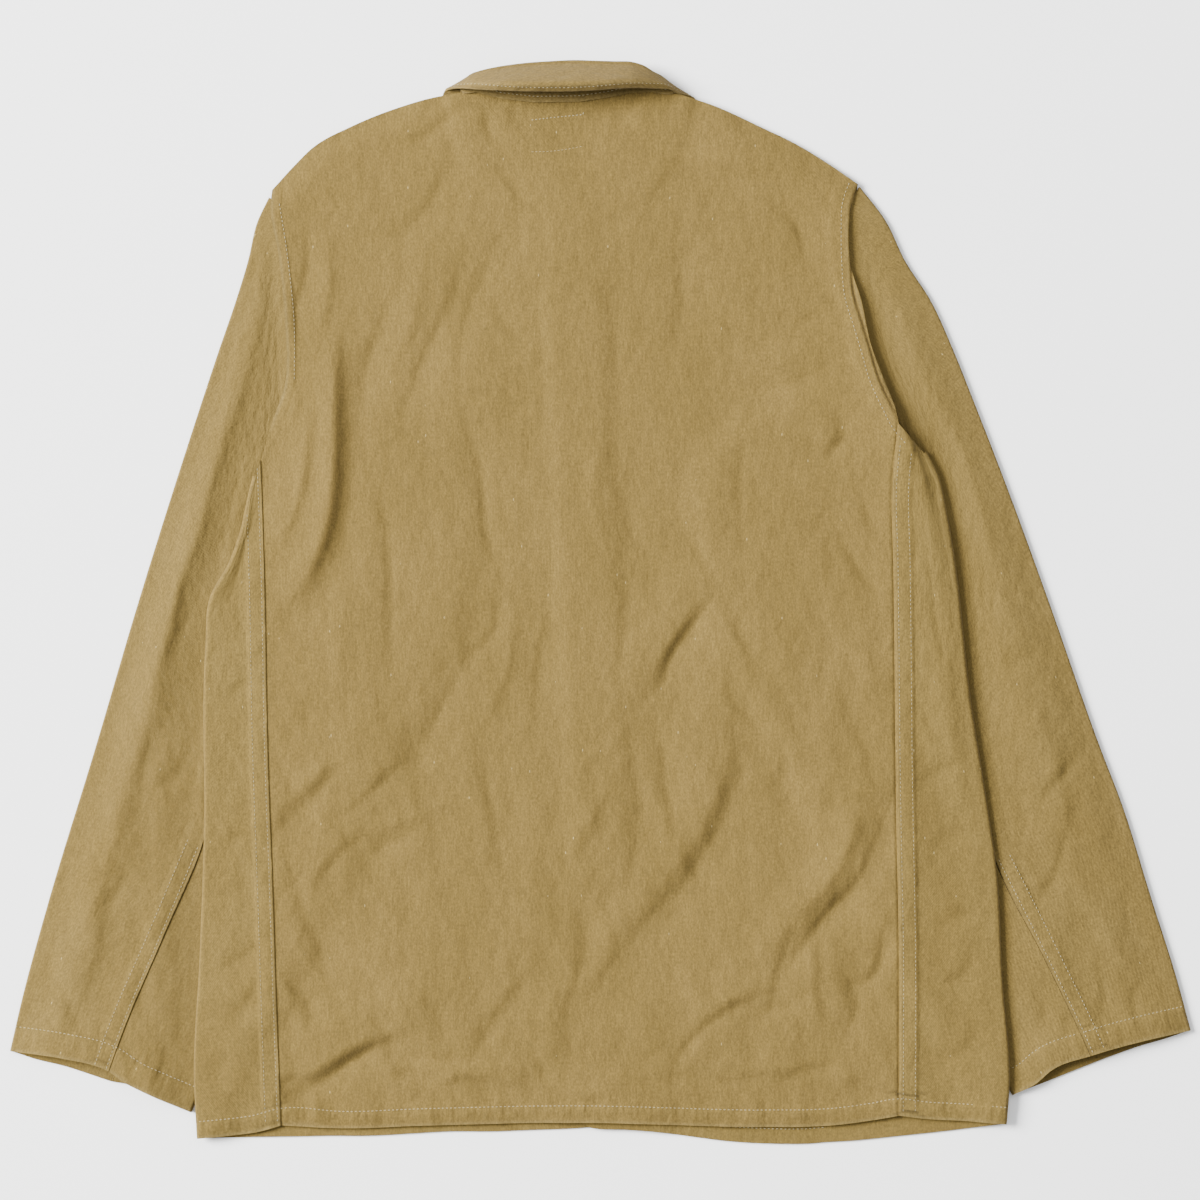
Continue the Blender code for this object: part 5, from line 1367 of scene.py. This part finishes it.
def on_top(path, height):
    """Points on the upper face of a layer that lies flat, along a plan path, and which way is up."""
    path = even(path, max(8, int(length_of(path) / 3)))
    x, y = path.T
    z = height(x, y)
    step = 1.5   # over which the slopes are taken
    slope_x, slope_y = (height(x + step, y) - z) / step, (height(x, y + step) - z) / step
    return np.column_stack([path, z]), np.column_stack([-slope_x, -slope_y, np.ones(len(path))])


def beside(path, offset, away_from):
    """A plan path moved sideways, away from a point, by offset."""
    curve = even(path, max(12, int(length_of(path) / 8)))
    return curve + outwards(curve, np.asarray(away_from, float)) * offset


def body_top(x, y):
    """Height of the body's upper face."""
    return back_height(x, y) + WALL / 2 + body_sewing(x, y).rise


def sleeve_top(side):
    """The function that says the height of a top sleeve's upper face."""
    def height(x, y):
        return sleeve_height(x, y, side) + WALL / 2 + sleeve_sewing(side, x, y, True).rise
    return height


def sew_body(finish):
    """The lower hem's row, the side fells, the armholes, and the short rows on the upper back."""
    bm = bmesh.new()
    stitch_row(bm, *on_top(beside(HEM_SHOWN, HEM_ROW, (0, -5000)), body_top), first=2)
    for side in ("left", "right"):
        for row, top in zip(FELL_ROWS, FELL_TOPS[side]):
            path = even(beside(BACK_SEAM[side], row, (0, 0)), 200)
            stitch_row(bm, *on_top(path[path[:, 1] < top], body_top), first=2.5, across=FELL_THREAD)
    # one row on the body beside the left armhole, and one along the right one's folded strip
    for path in (ARMHOLE_BACK["left"][2:6], FOLDED_STRIP):
        stitch_row(bm, *on_top(beside(path, -ARMHOLE_ROW, (0, 100)), body_top))
    # the part of the right front's hem row that shows below the back
    low_row = beside(HEM_FRONT["right"], FRONT_HEM_ROW, (0, -5000))
    shown = low_row[(low_row[:, 0] > FRONT_HEM_X[0]) & (low_row[:, 0] < FRONT_HEM_X[1])]
    stitch_row(bm, *on_top(shown, lambda x, y: right_front_height(x, y) + WALL / 2))
    for path, pitch, across in UPPER_BACK_ROWS:
        stitch_row(bm, *on_top(path, body_top), pitch=pitch, across=across)
    return cotton(into_mesh("body_stitches", bm, finish))


def sew_sleeves(finish):
    """Each cuff's row, and the back seam's two rows as far up as they show."""
    bm = bmesh.new()
    for side in ("left", "right"):
        top = sleeve_top(side)
        cuff = even(CUFF_UPPER[side], 40)
        below = np.array([SIGN[side] * 330, -2000.0])
        stitch_row(bm, *on_top(cuff + outwards(cuff, below) * CUFF_ROW, top), first=1.5)
        seam = [point for point in SLEEVE_BACK_SEAM[side] if point[1] < -150]
        for row in FELL_ROWS:
            stitch_row(bm, *on_top(beside(seam, row, (0, -200)), top), first=1)
    return cotton(into_mesh("sleeve_stitches", bm, finish))


def sew_collar(finish, middle, outward):
    """The row that closes the neck seam, and the row round the leaf's edge."""
    bm = bmesh.new()
    girth = run_across(middle)

    def line(distances, way):
        surface = middle + way * outward * COLLAR_WALL / 2
        points = [at_run(*place) for place in zip(distances, girth, surface)]
        ups = [way * at_run(*place) for place in zip(distances, girth, outward)]
        return points, ups

    stitch_row(bm, *line(np.full(len(middle), NECK_ROW), -1), first=2)
    stitch_row(bm, *line(girth[:, -1] - LEAF_ROW, 1), first=2, across=COLLAR_THREAD,
               shows=COLLAR_STITCH_SHOWS)
    return cotton(into_mesh("collar_stitches", bm, finish))


def sew_bar(whole, x, y, z, half, pitch, shows, across):
    """Thread on a face that looks down, along X to both sides of a point."""
    stitch_row(whole, [(x - half, y, z), (x + half, y, z)], [(0, 0, -1)] * 2,
               pitch=pitch, shows=shows, across=across)


def sew_buttons(finish):
    """Thread through each button's holes, and a worked buttonhole round it in the left front."""
    bm = bmesh.new()
    for y in BUTTON_YS:
        x = front_line(CENTRE_X, y)
        for way in (-1, 1):
            for nudge in (-0.35, 0.35):   # two threads side by side
                sew_bar(bm, x, y + way * HOLE_OFFSET + nudge, HOLE_THREAD_Z, HOLE_OFFSET,
                        pitch=2 * HOLE_OFFSET, shows=2 * HOLE_OFFSET, across=0.6)
        under = float(left_front_height(np.array([x]), np.array([y]))[0]) - WALL / 2
        for bar in (1.0, -1.0):
            sew_bar(bm, x, y + bar, under, BUTTONHOLE_LENGTH / 2, pitch=0.9, shows=0.8, across=1.6)
    return cotton(into_mesh("button_threads", bm, finish))


# ---- the jacket
# the collar's colour is the same cloth made darker: painted shade, against the extra light its raised
# leaf catches
base_colours = {"back": "#65532a", "front": "#64532a", "sleeve": "#63522a", "collar": "#5c4c2a"}
cloth = {name: khaki_twill(name + "_cotton_twill", colour) for name, colour in base_colours.items()}
thread = sewing_thread("spun_cotton_thread", "#7f714c", "#928560")

back_cloth = back(cloth["back"])
front_cloths = {side: front(side, cloth["front"]) for side in ("left", "right")}
sleeve_cloths = {side: sleeve(side, cloth["sleeve"]) for side in ("left", "right")}
collar_cloth, collar_middle, collar_outward = collar(cloth["collar"])

body_stitches = sew_body(thread)
sew_sleeves(thread)
collar_stitches = sew_collar(thread, collar_middle, collar_outward)
sew_buttons(thread)

resin = brown_resin("brown_resin")
for number in range(1, len(BUTTON_YS) + 1):
    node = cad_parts[f"button_{number}"]
    node.data.materials.clear()
    node.data.materials.append(resin)

# ---- the floor, the light and the camera
paper, _, paper_shader = material("white_paper")
paper_shader.inputs["Base Color"].default_value = linear("#f3f3f2")
paper_shader.inputs["Roughness"].default_value = 0.95
paper_shader.inputs["Specular IOR Level"].default_value = 0.1
floor_bm = bmesh.new()
bmesh.ops.create_grid(floor_bm, x_segments=1, y_segments=1, size=4.0,
                      matrix=Matrix.Translation((0, 0, -0.0004)))
placed("floor", into_mesh("floor", floor_bm, paper))

world = bpy.data.worlds.new("studio")
world.use_nodes = True
background = world.node_tree.nodes["Background"]
background.inputs["Color"].default_value = linear("#f4f6f8")
background.inputs["Strength"].default_value = 0.96
bpy.context.scene.world = world


def soft_light(name, size, power, position):
    light = bpy.data.lights.new(name, "AREA")
    light.shape = "SQUARE"
    light.size = size
    light.energy = power
    made = placed(name, light)
    made.location = position
    made.rotation_euler = (-Vector(position)).to_track_quat("-Z", "Y").to_euler()


soft_light("window", 3.0, 2470.0, (-5.4, 1.5, 3.5))
soft_light("fill", 2.5, 52.0, (1.4, 2.4, 2.6))

VIEW_WIDTH, FOCAL, SENSOR = 0.840, 120.0, 36.0   # metres across the picture, millimetres
PICTURE_CENTRE = (-0.3, 0.4)                     # millimetres, in the tables' frame
camera_data = bpy.data.cameras.new("camera")
camera_data.sensor_width = SENSOR
camera_data.lens = FOCAL
camera = placed("camera", camera_data)
camera.location = ((PICTURE_CENTRE[0] + SHIFT.x) / 1000, (PICTURE_CENTRE[1] + SHIFT.y) / 1000,
                   VIEW_WIDTH * FOCAL / SENSOR)
bpy.context.scene.camera = camera
